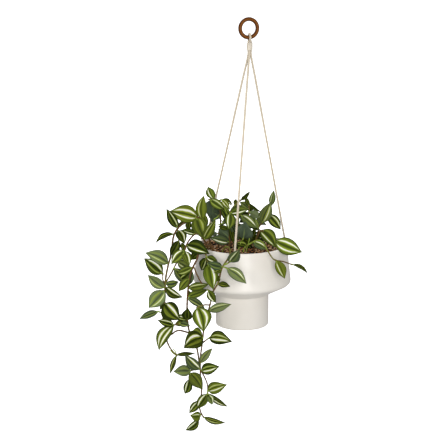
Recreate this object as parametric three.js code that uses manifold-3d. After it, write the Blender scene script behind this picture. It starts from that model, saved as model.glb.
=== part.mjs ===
// A glazed ceramic pot that hangs on three cords from a wooden ring, planted with a trailing
// tradescantia. Millimetres, +Z up, +X to the viewer's right, +Y away from the viewer. The origin
// is the inside top of the ring's eye, where the hook bears.

import * as THREE from 'three';
import { mergeVertices } from 'three/addons/utils/BufferGeometryUtils.js';
import Module from 'manifold-3d';

const wasm = await Module();
wasm.setup();

// ---------------------------------------------------------------- driving dimensions
const CLEARANCE = 0.3; // left between neighbouring pieces

const RING_OUTSIDE = 40;
const RING_SECTION = 7.2;
const RING_TURN = 18; // degrees about the vertical
const LOOP_TURN = 12; // the cord's loop follows it in part

const CORD_THICK = 4.2;
const CORD_SIDES = 8;
const CORD_STRIDE = 110; // length of one straight stretch of a cord's tube
const CORD_CENTRE_X = 1.5; // the bundle of cords hangs this far right of the hook
const STRAND_RADIUS = 2.55; // from the bundle's axis to each strand's centre
const KNOT_THICK = 7.6;
const KNOT_INSET = 11.5; // from the rim's outside in to a knot's middle
const KNOT_DIP = 0.6; // a knot lies this far below its hole

const WHIPPING_TOP = -38.5;
const WHIPPING_BOTTOM = -52.5;
const WHIPPING_TURNS = 9;
const WHIPPING_CREST = 5.9; // radius over the thread
const WHIPPING_VALLEY = 5.4; // radius between two turns

const POT_X = -10.4; // the pot's axis hangs a little left of the hook
const RIM_Z = -409.8;
const POT_HEIGHT = 154.5;
const RIM_RADIUS = 84.4;
const SHOULDER_RADIUS = 90;
const SHOULDER_DROP = 72.5; // from the rim down to the widest place
const NECK_RADIUS = 49.8;
const NECK_DROP = 97;
const WALL = 4.8;
const POT_SEGMENTS = 32;

const HOLE_DROP = 10; // from the rim down to the three cord holes
const HOLE_RADIUS = 2.7;
const HOLE_ANGLES = { left: 140, front: -100, right: 22 }; // degrees from +X towards +Y

const SOIL_DROP = 13.5; // from the rim down to the top of the soil
const GRAVEL_DROP = 7; // from the rim down to the bed of the granules
const GRAIN_COUNT = 60; // the main grains that stand out of the bed
const GRAIN_SIZE = 2.7; // the smallest one's half width across its corners
const GRAIN_SPREAD = 1.1; // the largest is this much bigger
const GRAIN_HEIGHT = 0.85; // as a share of that half width
const GRAIN_SINK = 0.3; // a grain's middle lies this far below the top of the bed
const ROOT_DEPTH = 18; // how deep a stem stands in the granules and the soil
const STEM_EXIT = 4; // how far a stem rises straight before it leans
const GOLDEN_ANGLE = 137.5; // degrees from one grain to the next

// The plant was measured in a front view, seen from a little above. One unit of the view is
// VIEW_UNIT mm at the distance of AIM, and the view's middle is at (VIEW_MIDDLE, VIEW_MIDDLE).
const VIEW_UNIT = 1.856;
const VIEW_MIDDLE = 224;
const EYE_DISTANCE = 2400;
const EYE_RISE = 12.5; // degrees above the level
const AIM = new THREE.Vector3(-44.5, 0, -372.8);

const BLADE_THICK = 0.9;
const BLADE_FOLD = 0.3; // each half of a blade rises by this share of its half width
// Stations along a blade, from its root to its tip, with the half width as a share of the widest.
const BLADE_OUTLINE = [[0, 0.1], [0.22, 0.74], [0.46, 1], [0.78, 0.5]];
const SMALL_OUTLINE = [[0, 0.1], [0.28, 0.88], [0.68, 0.78]];
const SMALL_WIDTH = 18.5; // a narrower blade takes the outline with fewer stations
const STEM_STRIDE = 19; // length of one straight stretch of a stem's tube
const STEM_SIDES = 5;

// ---------------------------------------------------------------- colours
const finish = (color, roughness) => new THREE.MeshStandardMaterial({ color, roughness, metalness: 0 });
const WOOD = finish(0x9c5f3c, 0.55);
const CORD = finish(0xe0d3c0, 0.9);
const GLAZE = finish(0xece8e1, 0.2);
const SOIL = finish(0x3b2a1f, 0.95);
const GRAVEL = finish(0x9a6a45, 0.9);
const LEAF = finish(0x4f7a35, 0.5);

// ---------------------------------------------------------------- helpers
const radians = THREE.MathUtils.degToRad;
const at = (x, y, z) => new THREE.Vector3(x, y, z);

const rise = radians(EYE_RISE);
const viewBack = at(0, -Math.cos(rise), Math.sin(rise)); // from the aim to the eye
const viewUp = at(0, Math.sin(rise), Math.cos(rise));
const eye = AIM.clone().addScaledVector(viewBack, EYE_DISTANCE);

// The place that shows at (across, down) in the front view, at the given depth y.
function seen(across, down, y) {
  const ray = viewBack.clone().multiplyScalar(-EYE_DISTANCE);
  ray.x += (across - VIEW_MIDDLE) * VIEW_UNIT;
  ray.addScaledVector(viewUp, (VIEW_MIDDLE - down) * VIEW_UNIT);
  return eye.clone().addScaledVector(ray, (y - eye.y) / ray.y);
}

// Where a place shows in the front view.
function showing(place) {
  const reach = place.clone().sub(eye);
  const scale = EYE_DISTANCE / (-reach.dot(viewBack) * VIEW_UNIT);
  const across = VIEW_MIDDLE + reach.x * scale;
  return new THREE.Vector2(across, VIEW_MIDDLE - reach.dot(viewUp) * scale);
}

// Evenly spread numbers from 0 to 1, for repeats that should look irregular.
function spread(index, offset) {
  return (index * 0.6180339887 + offset * 0.3819660113 * 7) % 1;
}

function solidOf(geometry) {
  const bare = geometry.index ? geometry.clone() : geometry;
  bare.deleteAttribute('normal');
  bare.deleteAttribute('uv');
  const merged = mergeVertices(bare, 1e-4);
  return new wasm.Manifold(new wasm.Mesh({
    numProp: 3,
    vertProperties: new Float32Array(merged.attributes.position.array),
    triVerts: new Uint32Array(merged.index.array),
  }));
}

const joined = (solids) => wasm.Manifold.union(solids);

function meshOf(name, solid, material) {
  const { vertProperties, triVerts } = solid.getMesh();
  const geometry = new THREE.BufferGeometry();
  geometry.setAttribute('position', new THREE.BufferAttribute(vertProperties, 3));
  geometry.setIndex(new THREE.BufferAttribute(triVerts, 1));
  geometry.computeVertexNormals();
  const mesh = new THREE.Mesh(geometry, material);
  mesh.name = name;
  return mesh;
}

// A turned solid about the vertical through (x, y), from [radius, z] pairs.
function turned(profile, segments, x = 0, y = 0) {
  const points = profile.map(([radius, z]) => new THREE.Vector2(radius, z));
  const geometry = new THREE.LatheGeometry(points, segments);
  geometry.rotateX(Math.PI / 2);
  geometry.translate(x, y, 0);
  const solid = solidOf(geometry);
  return solid.volume() > 0 ? solid : solidOf(flipped(geometry));
}

function flipped(geometry) {
  const order = geometry.index.array;
  for (let i = 0; i < order.length; i += 3) {
    [order[i], order[i + 1]] = [order[i + 1], order[i]];
  }
  return geometry;
}

// A route through given stations, with one straight stretch between each two.
class Route extends THREE.Curve {
  constructor(stations) {
    super();
    this.stations = stations;
  }

  getPoint(t, target = new THREE.Vector3()) {
    const last = this.stations.length - 1;
    const place = t * last;
    const index = Math.min(Math.floor(place + 1e-9), last - 1);
    return target.lerpVectors(this.stations[index], this.stations[index + 1], place - index);
  }

  getPointAt(t, target) {
    return this.getPoint(t, target);
  }

  getTangent(t, target = new THREE.Vector3()) {
    const last = this.stations.length - 1;
    const middle = Math.round(t * last);
    const before = this.stations[Math.max(middle - 1, 0)];
    const after = this.stations[Math.min(middle + 1, last)];
    return target.subVectors(after, before).normalize();
  }

  getTangentAt(t, target) {
    return this.getTangent(t, target);
  }
}

function tube(stations, radius, sides) {
  const section = new THREE.Shape();
  for (let side = 0; side < sides; side += 1) {
    const turn = (side / sides) * 2 * Math.PI;
    const corner = [radius * Math.cos(turn), radius * Math.sin(turn)];
    if (side === 0) section.moveTo(...corner);
    else section.lineTo(...corner);
  }
  section.closePath();
  const geometry = new THREE.ExtrudeGeometry(section, {
    steps: stations.length - 1,
    extrudePath: new Route(stations),
    bevelEnabled: false,
  });
  return solidOf(geometry);
}

// A smooth curve through the points, cut into stretches of about the given length.
function smooth(points, stride) {
  const curve = new THREE.CatmullRomCurve3(points, false, 'centripetal');
  return curve.getSpacedPoints(Math.max(2, Math.round(curve.getLength() / stride)));
}

function straight(from, to, stride) {
  const count = Math.max(1, Math.round(from.distanceTo(to) / stride));
  return Array.from({ length: count }, (_, i) => from.clone().lerp(to, (i + 1) / count));
}

// ---------------------------------------------------------------- ring
const ringRadius = (RING_OUTSIDE - RING_SECTION) / 2;
const ringHole = RING_OUTSIDE - 2 * RING_SECTION;

function hangingRing() {
  const geometry = new THREE.TorusGeometry(ringRadius, RING_SECTION / 2, 8, 24);
  geometry.rotateX(Math.PI / 2);
  geometry.rotateZ(radians(RING_TURN));
  geometry.translate(0, 0, -ringHole / 2);
  return meshOf('hanging_ring', solidOf(geometry), WOOD);
}

// ---------------------------------------------------------------- cords
const sectionZ = -ringHole / 2 - ringRadius; // centre of the ring's lowest section
const loopRadius = (RING_SECTION + CORD_THICK) / 2 + 3 * CLEARANCE;

function around(angle, radius, z, centreX = POT_X) {
  return at(centreX + radius * Math.cos(radians(angle)), radius * Math.sin(radians(angle)), z);
}

const holeZ = RIM_Z - HOLE_DROP;
const knotPlace = (angle) => around(angle, RIM_RADIUS - KNOT_INSET, holeZ - KNOT_DIP);

// The way of one cord from its knot in the pot, out through its hole and up to the whipping.
function cordUp(angle) {
  const way = [
    knotPlace(angle),
    around(angle, RIM_RADIUS - WALL, holeZ),
    around(angle, RIM_RADIUS + 1, holeZ),
    around(angle, RIM_RADIUS + 3, holeZ + 1.2),
    around(angle, RIM_RADIUS + 3.6, holeZ + 3.8),
    around(angle, RIM_RADIUS + 3.2, holeZ + 7),
  ];
  const strand = around(angle, STRAND_RADIUS, WHIPPING_BOTTOM - 6, CORD_CENTRE_X);
  way.push(...straight(way.at(-1), strand, CORD_STRIDE));
  way.push(around(angle, STRAND_RADIUS, WHIPPING_BOTTOM, CORD_CENTRE_X));
  return way;
}

const knotOn = (way) => {
  const geometry = new THREE.IcosahedronGeometry(KNOT_THICK / 2, 0);
  geometry.translate(...way[0].toArray());
  return solidOf(geometry);
};

// One cord runs from the left hole up, over the ring's lowest section and down to the right hole.
function sideCordWay() {
  const loopPlace = (reach, z) => at(
    CORD_CENTRE_X - reach * Math.sin(radians(LOOP_TURN)),
    reach * Math.cos(radians(LOOP_TURN)),
    z,
  );
  const top = WHIPPING_TOP + 1;
  const loop = [around(HOLE_ANGLES.left, STRAND_RADIUS, top, CORD_CENTRE_X)];
  loop.push(loopPlace(loopRadius - 1.2, sectionZ - 4.2));
  for (let turn = 0; turn <= 180; turn += 30) {
    const reach = loopRadius * Math.cos(radians(turn));
    loop.push(loopPlace(reach, sectionZ + loopRadius * Math.sin(radians(turn))));
  }
  loop.push(loopPlace(1.2 - loopRadius, sectionZ - 4.2));
  loop.push(around(HOLE_ANGLES.right, STRAND_RADIUS, top, CORD_CENTRE_X));
  return [...cordUp(HOLE_ANGLES.left), ...loop, ...cordUp(HOLE_ANGLES.right).reverse()];
}

const sideWay = sideCordWay();
const frontEnd = around(HOLE_ANGLES.front, STRAND_RADIUS, WHIPPING_TOP - 1, CORD_CENTRE_X);
const frontWay = [...cordUp(HOLE_ANGLES.front), frontEnd];

function cords() {
  const half = CORD_THICK / 2;
  const side = joined([tube(sideWay, half, CORD_SIDES), knotOn(sideWay), knotOn([sideWay.at(-1)])]);
  const front = joined([tube(frontWay, half, CORD_SIDES), knotOn(frontWay)]);
  return [meshOf('cord_left_and_right', side, CORD), meshOf('cord_front', front, CORD)];
}

// The thread wound round the three strands: a barrel with a rib for each turn.
function whipping() {
  const pitch = (WHIPPING_TOP - WHIPPING_BOTTOM) / WHIPPING_TURNS;
  const profile = [[0, WHIPPING_BOTTOM], [WHIPPING_VALLEY, WHIPPING_BOTTOM]];
  for (let turn = 0; turn < WHIPPING_TURNS; turn += 1) {
    const z = WHIPPING_BOTTOM + turn * pitch;
    profile.push([WHIPPING_CREST, z + pitch / 2], [WHIPPING_VALLEY, z + pitch]);
  }
  profile.push([0, WHIPPING_TOP]);
  const bore = CORD_THICK / 2 + 1.3 * CLEARANCE;
  const bores = Object.values(HOLE_ANGLES).map((angle) => tube([
    around(angle, STRAND_RADIUS, WHIPPING_BOTTOM - 1, CORD_CENTRE_X),
    around(angle, STRAND_RADIUS, WHIPPING_TOP + 1, CORD_CENTRE_X),
  ], bore, 12));
  const axis = tube([
    at(CORD_CENTRE_X, 0, WHIPPING_BOTTOM - 1),
    at(CORD_CENTRE_X, 0, WHIPPING_TOP + 1),
  ], 1.8, 8);
  const thread = turned(profile, 10, CORD_CENTRE_X).subtract(joined([...bores, axis]));
  return meshOf('whipping_thread', thread, CORD);
}

// ---------------------------------------------------------------- pot
const footZ = -POT_HEIGHT;

// [radius, drop below the rim] pairs, from the middle of the foot up the outside to the lip.
const potOutside = [
  [0, footZ],
  [46.6, footZ],
  [49, footZ + 1],
  [NECK_RADIUS, footZ + 3],
  [NECK_RADIUS, -NECK_DROP - 1],
  [NECK_RADIUS + 1.6, -NECK_DROP + 1.4],
  [84.5, -81.8],
  [88.9, -77.2],
  [SHOULDER_RADIUS, -SHOULDER_DROP],
  [87.2, -40],
  [RIM_RADIUS, -3],
  [RIM_RADIUS - 0.8, -0.7],
  [RIM_RADIUS - 2.3, 0],
];
// The same down the inside, from the lip to the middle of the floor.
const potInside = [
  [RIM_RADIUS - 4, -0.7],
  [RIM_RADIUS - WALL, -3],
  [87.2 - WALL, -40],
  [SHOULDER_RADIUS - WALL, -SHOULDER_DROP],
  [82.4, -77],
  [NECK_RADIUS - WALL, -NECK_DROP + 3],
  [NECK_RADIUS - WALL, footZ + WALL],
  [0, footZ + WALL],
];
const onRim = (profile) => profile.map(([radius, drop]) => [radius, RIM_Z + drop]);

function pot() {
  const body = turned(onRim([...potOutside, ...potInside]), POT_SEGMENTS, POT_X);
  const holes = Object.values(HOLE_ANGLES).map((angle) => tube([
    around(angle, RIM_RADIUS - 2 * WALL, holeZ),
    around(angle, RIM_RADIUS + WALL, holeZ),
  ], HOLE_RADIUS, 10));
  return meshOf('pot', body.subtract(joined(holes)), GLAZE);
}

// ---------------------------------------------------------------- the plant's measured places
// A stem: its thickness, whether it stands in the soil, and its places in the front view as
// [across, down, y]. A leaf: where it grows from its stem (across, down), where its tip shows
// (across, down), how much further back the tip lies, then its width in mm, its roll in degrees
// about its own length (0 turns its upper face to the viewer), and its arch and its bend to the right
// as shares of its length.
const TRAILING_LEFT = {
  name: 'trailing_stems_left',
  stems: [
    { thick: 3.2, rooted: true, route: [[211, 248, -18], [208, 234, -22], [203.5, 221, -27],
      [197.5, 217.5, -30], [188, 221, -32], [179, 227, -33], [174, 235, -34], [171, 255, -36],
      [168, 266, -39], [165.5, 280, -41], [165, 292, -42], [164.5, 304, -42], [163, 319, -42]] },
    { thick: 2.6, rooted: true, route: [[208.5, 250.5, -35], [204, 240, -45], [196, 234, -52],
      [188, 242, -54], [184, 252, -53], [176, 264, -50], [172, 272, -47], [165.5, 283, -41]] },
    { thick: 3, rooted: true, route: [[214, 253, -48], [210, 246, -52], [204, 246, -60], [199, 252, -65],
      [197, 259, -66], [193.5, 266, -66], [190.5, 274, -66], [188, 290, -66], [187, 310, -65],
      [187.5, 320, -64], [189.5, 332, -64], [196, 345, -66], [198.5, 357, -68], [199.5, 366, -70]] },
    { thick: 2.2, route: [[177, 228.5, -33], [179, 234, -34], [179, 240, -36]] },
    { thick: 2.6, route: [[204, 246, -60], [205.5, 253, -74], [207, 259, -80], [208.5, 265, -83]] },
    { thick: 2.2, route: [[193.5, 266, -66], [195, 270, -70], [198, 277, -74], [202, 284, -77]] },
    { thick: 2, route: [[165, 284, -41], [162.9, 280, -42], [162.8, 274, -42]] },
    { thick: 2, route: [[163.6, 311.5, -42], [161, 312.4, -42.5], [158.5, 311.6, -43]] },
    { thick: 2.4, route: [[187.5, 320, -64], [181, 323, -62], [174, 325, -60]] },
    { thick: 1.6, route: [[176.3, 355, -56], [175.3, 351.5, -57], [173, 349, -58]] },
    { thick: 1.6, route: [[175.8, 355, -56], [173.3, 353.5, -54], [170.3, 350.3, -53]] },
    { thick: 2.6, route: [[190, 333, -64], [178, 330.5, -60], [172, 334, -58], [167, 338.5, -56],
      [168.5, 345, -56], [172, 350.5, -56], [177, 356, -56]] },
  ],
  leaves: [
    [198.5, 217.5, 170.5, 211.5, -5, 29, 16, 0.06, 0.08],
    [178, 228.5, 167.6, 209.3, -7, 15, -10, 0.05, -0.02],
    [174, 234, 156.5, 242.6, -4, 14, 60, 0.15, 0.01],
    [179, 230, 184.2, 243.8, -22, 19, -15, 0.06, -0.06],
    [179, 240, 170.5, 255.5, -4, 16, -28, 0.05, 0],
    [202, 220.5, 204.3, 196.3, 4, 20, 6, 0.05, -0.07],
    [196.5, 219, 203.6, 238, -22, 25, -8, 0.09, -0.03],
    [206, 238, 215.2, 219.4, -17, 19, 15, 0.05, 0],
    [196, 234, 182, 230, 4, 12, 30, 0.05, 0],
    [188, 221.5, 177.3, 226.3, 11, 8, 40, 0.05, 0.02],
    [187.5, 245.5, 209, 253.6, -22, 26, -18, 0.07, -0.06],
    [170, 263, 145.8, 252.9, -4, 23, 20, 0.09, 0.08],
    [184.5, 250, 171.5, 264, -14, 20, 20, 0.06, 0.02],
    [184.5, 251, 189.2, 266, -18, 17, -10, 0.06, -0.02],
    [162.8, 274, 144.8, 259, -2, 23, 14, 0.06, 0.01],
    [165, 288, 148.7, 275.8, 3, 18, 8, 0.05, -0.08],
    [165, 290, 149.6, 307.1, -3, 23, 8, 0.05, 0.03],
    [165.5, 286.5, 182.3, 296.6, -6, 15, -16, 0.08, 0.12],
    [165.5, 284, 178.5, 281.5, 5, 14, -25, 0.05, 0.12],
    [190.5, 272, 179.5, 281, 18, 16, 10, 0.06, 0],
    [189.5, 278, 179, 291, 2, 16, 25, 0.06, 0],
    [174, 268, 188, 284.5, -6, 18, -15, 0.06, 0],
    [177, 262.5, 190, 271, -8, 15, -30, 0.06, 0],
    [158.5, 311.6, 140.1, 318.6, -3, 13, 35, 0.1, 0],
    [164.5, 303, 179.2, 319, -22, 31, -12, 0.07, 0.03],
    [187, 309, 190, 319.4, -22, 19, -20, 0.04, 0.1],
    [187.5, 320, 175.5, 316.2, 5, 13, 25, 0.05, 0],
    [174, 325, 158.5, 320.7, -4, 14, 30, 0.12, -0.04],
    [174, 325, 159.4, 349.6, -8, 21, 10, 0.07, 0.11],
    [180, 323.5, 190, 325.5, -15, 12, -30, 0.08, 0],
    [188, 288, 207.8, 284.2, -9, 14, -20, 0.08, 0.03],
    [187.5, 297, 206, 290.5, 3, 13, -28, 0.08, 0.02],
    [187.5, 298, 205, 309, -8, 13, -12, 0.08, -0.06],
    [208.5, 264, 213, 289.1, -22, 26, -10, 0.06, 0],
    [207, 258, 202, 269, 22, 13, 30, 0.06, -0.06],
    [206.5, 257, 218, 262.4, -11, 13, -20, 0.08, 0],
    [176.8, 355, 194.5, 353.6, -3, 9, -50, 0.02, 0.03],
    [176.3, 355.5, 170.5, 373, -2, 9, 40, 0.04, -0.03],
    [190, 220.5, 187.5, 230, 6, 11, 10, 0.05, 0],
    [191.8, 270, 188.8, 285, 9, 11, 10, 0.05, -0.05],
    [198.5, 251, 190.5, 259.5, 10, 13, 20, 0.05, 0],
    [184.5, 251, 181.5, 242.5, 6, 9, 10, 0.05, 0],
    [165.4, 281, 160.5, 287, 8, 8, 10, 0.05, 0],
    [164.5, 302, 160, 309.5, 6, 7, 10, 0.05, 0],
    [188, 290, 191.5, 298, 6, 7, -10, 0.05, 0],
    [187, 264.5, 177.5, 273.5, 9, 14, 10, 0.05, 0],
    [207, 227, 203.3, 212.5, 3, 11, 12, 0.05, 0],
  ],
};

const TRAILING_FRONT = {
  name: 'trailing_stems_front',
  stems: [
    { thick: 3.2, rooted: true, route: [[222.5, 252.5, -50], [224.5, 247, -62], [226.5, 249, -81],
      [226.5, 255, -95], [224.5, 261, -99], [222, 268, -101], [218, 283, -102], [213, 292, -102],
      [210, 305, -102], [208, 312, -102], [204, 329, -101], [202, 345, -100], [200.5, 357, -98],
      [200.5, 380, -98], [201.5, 392, -98], [199.5, 406, -98], [201, 413, -98], [203.5, 417, -98]] },
    { thick: 2.2, route: [[223.5, 265, -100], [226.5, 264, -103], [229.5, 262, -105]] },
    { thick: 2, route: [[222.3, 267, -101], [224.5, 267.2, -103], [226.5, 268, -105]] },
    { thick: 2, route: [[213, 292, -102], [210.5, 291.2, -104], [208.3, 290.3, -105]] },
    { thick: 2.2, route: [[210, 305, -102], [204, 305, -105], [197.5, 307.3, -107]] },
    { thick: 2.2, route: [[202.5, 343, -100], [205, 341, -101], [209, 338, -103]] },
    { thick: 2.2, route: [[200.5, 368, -98], [195, 369.5, -97], [190, 371.5, -97], [189.5, 380, -98]] },
    { thick: 2.2, route: [[200.5, 370, -98], [204, 376, -100], [207.5, 385, -101], [207.5, 396, -102]] },
    { thick: 2, route: [[201, 413, -98], [200, 416.5, -99], [199, 419.5, -101]] },
  ],
  leaves: [
    [222.5, 267, 207.5, 262.5, -7, 15, 15, 0.06, -0.05],
    [221.5, 270, 214, 273, -10, 9, 20, 0.05, 0],
    [229.5, 262, 239.5, 249.4, -22, 20, 10, 0.04, 0],
    [226.5, 268, 246, 283.4, -9, 20, -8, 0.06, -0.06],
    [217.5, 284, 230, 286.5, -4, 11, -35, 0.1, 0],
    [208.3, 290.3, 215.8, 302.6, -10, 15, -10, 0.06, 0.04],
    [208, 311, 231, 304.4, -5, 16, -12, 0.08, -0.03],
    [197.5, 307.3, 203.3, 331, -22, 32, -5, 0.07, -0.11],
    [203.2, 337, 192.3, 331.3, 17, 18, 0, 0.05, 0.14],
    [203, 338, 185.3, 347.5, -22, 31, 18, 0.08, 0.12],
    [209, 338, 231.6, 342, -22, 24, -12, 0.07, -0.1],
    [200.5, 363.3, 212, 348.8, 5, 12, 10, 0.04, -0.05],
    [200.5, 369.5, 185.8, 355.2, -6, 18, 10, 0.05, -0.1],
    [190.5, 371, 173.9, 371.4, -15, 19, 22, 0.07, 0.05],
    [190, 373, 202.2, 389, -20, 22, -8, 0.08, -0.04],
    [189.5, 379, 185.3, 393, 7, 16, 14, 0.05, -0.1],
    [200.8, 371, 219.2, 366.7, -10, 21, -12, 0.08, -0.05],
    [207.3, 390.8, 226, 384.8, -21, 21, -12, 0.06, -0.05],
    [208, 393.5, 227.7, 406.4, -3, 11, -20, 0.05, 0.05],
    [207.7, 395, 212, 404.8, -9, 14, -10, 0.04, -0.12],
    [207, 393.5, 197.1, 408.4, -5, 18, 12, 0.05, 0],
    [200, 401, 189.4, 413, -5, 15, 16, 0.05, 0.01],
    [200.5, 415, 191.6, 413.6, -12, 15, 16, 0.05, -0.08],
    [199, 419.5, 185.4, 430.1, -5, 14, 12, 0.05, -0.1],
    [203.3, 416.8, 225.1, 422.5, -4, 11, -18, 0.02, 0.07],
    [218.8, 282, 218.3, 275.5, -5, 6, 10, 0.05, 0],
  ],
};

const CROWN_LEFT = {
  name: 'crown_stem_left',
  stems: [
    { thick: 2.8, rooted: true, route: [[218.5, 248, -6], [219.5, 238, -7], [220.5, 224, -8],
      [220, 210, -9], [217, 202, -9], [213.5, 199.3, -9], [209, 199.5, -10]] },
    { thick: 1.8, route: [[217, 202, -9], [222, 199.8, -12], [228, 202, -14], [231, 205, -15]] },
    { thick: 1.8, route: [[220.3, 214, -9], [217.5, 217, -12], [213.5, 219.5, -15]] },
    { thick: 1.6, route: [[220.3, 220, -9], [224, 222.5, -13], [217.5, 225, -19]] },
  ],
  leaves: [
    [214.5, 199.5, 208, 187, 18, 16, 12, 0.05, -0.05],
    [209.5, 199.5, 225, 210.3, -9, 17, -18, 0.08, 0],
    [213.8, 199.3, 213.6, 218.8, 22, 29, 185, 0.06, 0],
    [220.5, 218, 209.5, 209, 22, 18, 190, 0.05, 0],
    [221, 200, 232.4, 205.2, -6, 9, -24, 0.06, -0.12],
    [222, 200, 229.8, 209.2, -12, 12, -10, 0.05, 0],
  ],
};

const CROWN_FRONT = {
  name: 'crown_stem_front',
  stems: [
    { thick: 2.8, rooted: true, route: [[229, 250, -25], [229.5, 240, -27], [229.5, 228, -31],
      [229.5, 215, -33], [232.5, 208, -31], [240.3, 200.4, -28]] },
  ],
  leaves: [
    [229.5, 213, 248.5, 209.5, -8, 17, -30, 0.08, 0],
    [230.3, 213.2, 228.6, 229.4, -13, 20, 6, 0.06, -0.08],
    [229, 242, 209.7, 237.4, -12, 18, 28, 0.08, -0.03],
    [229.5, 238, 218.5, 229, 6, 19, 175, 0.05, 0],
    [240.2, 200.6, 249.8, 191.5, 1, 12, 45, 0.03, -0.03],
    [235.5, 206.3, 236, 199, 8, 8, 10, 0.04, 0],
    [229.5, 244, 224, 231.5, 4, 15, 160, 0.05, 0.05],
    [229.5, 225, 233.5, 243.5, 4, 10, -20, 0.05, 0],
    [229.5, 222, 239, 240, 8, 11, 15, 0.06, -0.05],
    [230.5, 211.5, 237, 204.5, 5, 8, 20, 0.04, 0],
    [229.5, 229, 218.3, 226.3, 8, 9, 10, 0.05, 0],
  ],
};

const CROWN_BACK = {
  name: 'crown_stem_back',
  stems: [
    { thick: 2.8, rooted: true, route: [[242, 248.5, -12], [242.5, 240, -12], [244, 230, -12],
      [247.5, 220, -11], [249, 211, -10], [249, 203, -8]] },
    { thick: 2, route: [[247.5, 220, -11], [243.5, 216.5, -15], [240.5, 215, -18]] },
    { thick: 2, route: [[242.5, 240, -12], [246, 238.5, -6], [250.5, 238, 0]] },
  ],
  leaves: [
    [243.5, 238.5, 245, 221.8, -19, 31, -8, 0.06, 0.02],
    [240.5, 215, 256.8, 228, -8, 18, -18, 0.08, 0],
    [249, 203, 256.5, 210.5, -5, 10, 40, 0.04, 0],
    [249, 211.5, 259.9, 217, -20, 14, 168, 0.05, 0],
    [242.5, 240, 234, 221, 20, 21, 15, 0.05, 0],
    [249, 209.5, 240.5, 203, 4, 13, 25, 0.05, 0.03],
    [244, 230, 251, 241, 8, 17, -20, 0.06, -0.05],
    [243, 236, 246.5, 246, 6, 14, -10, 0.05, 0],
    [250.5, 238, 255, 228.5, -3, 12, 15, 0.05, 0],
    [249, 207, 245.2, 196.3, 2, 8, 10, 0.04, 0],
    [244, 230, 254.5, 213.5, 16, 20, 10, 0.05, 0],
  ],
};

const CROWN_RIGHT = {
  name: 'crown_stems_right',
  stems: [
    { thick: 2.6, rooted: true, route: [[256, 248.5, -10], [257, 240, -11], [258, 232, -13],
      [259, 227, -15], [262, 223, -17], [266, 216.5, -16], [270, 210, -13], [271, 206, -12]] },
    { thick: 2.6, rooted: true, route: [[254, 250.5, -28], [254.5, 244, -28], [257, 237, -30],
      [261, 230.5, -33], [268, 235.5, -38], [274.5, 241, -41]] },
    { thick: 1.8, route: [[258.5, 229, -14], [260, 230, -25], [261, 230.5, -33]] },
  ],
  leaves: [
    [262, 223, 271.2, 202.6, -10, 21, 10, 0.05, 0],
    [271, 206, 274, 191, 1, 11, 15, 0.04, 0],
    [267.5, 214, 280, 229, -4, 16, -12, 0.08, -0.02],
    [261.2, 229.5, 276, 248, -9, 20, -10, 0.07, -0.07],
    [258.5, 229.5, 254.5, 217.5, -10, 7, 20, 0.04, 0],
    [257.3, 238, 262.3, 229.5, 12, 11, 10, 0.05, 0],
    [257.5, 234, 255.5, 244.5, 3, 10, 25, 0.05, 0],
    [257.3, 238, 262.5, 245.5, 5, 12, -20, 0.05, 0],
    [274.5, 241, 301.6, 252.1, -6, 29, -18, 0.09, 0.03],
  ],
};

const TRAILING_RIGHT = {
  name: 'trailing_stem_right',
  stems: [
    { thick: 2.4, rooted: true, route: [[243.5, 251.5, -38], [245, 247, -42], [249.5, 244, -47],
      [256.5, 240.5, -55], [261.5, 241.5, -66], [265, 246, -78], [269, 253, -89], [274, 259.5, -91],
      [283, 261.5, -86], [292, 264.5, -80]] },
  ],
  leaves: [
    [276, 260, 284.5, 278.4, -4, 15, -18, 0.06, -0.03],
    [292, 264.5, 307.5, 273.5, -2, 9, -50, 0.12, -0.04],
    [253, 241.5, 267.6, 249.6, -15, 17, -32, 0.06, 0],
    [247, 245, 236.5, 243.5, 17, 13, 40, 0.06, 0],
  ],
};

// Behind the pot the stems are placed directly, in mm from the middle of the rim, and their leaves
// follow a rule: one every LEAF_EVERY mm, on either side in turn, but none at the first few places.
const LEAF_EVERY = 20;
const LEAF_REACH = 36; // the shortest leaf
const LEAF_REACH_SPREAD = 14; // the longest is this much longer
const LEAF_ARCH = 0.07;
const BACK_STEMS = [
  { name: 'back_stem_left', thick: 2.8, bare: 2, scale: 1, route: [[-28, 30, -7], [-32, 44, 14],
    [-38, 74, 16], [-44, 96, 0], [-45, 104, -28], [-42, 106, -68]] },
  { name: 'back_stem_middle', thick: 2.8, bare: 1, scale: 1, route: [[8, 34, -7], [10, 52, 20],
    [14, 80, 20], [16, 101, 0], [20, 106, -40], [17, 107, -84], [20, 107, -118]] },
  { name: 'back_stem_right', thick: 2.6, bare: 3, scale: 0.7, route: [[36, 26, -7], [40, 44, 6],
    [52, 71, 6], [58, 86, -8], [64, 92, -36], [62, 95, -66]] },
];

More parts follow.
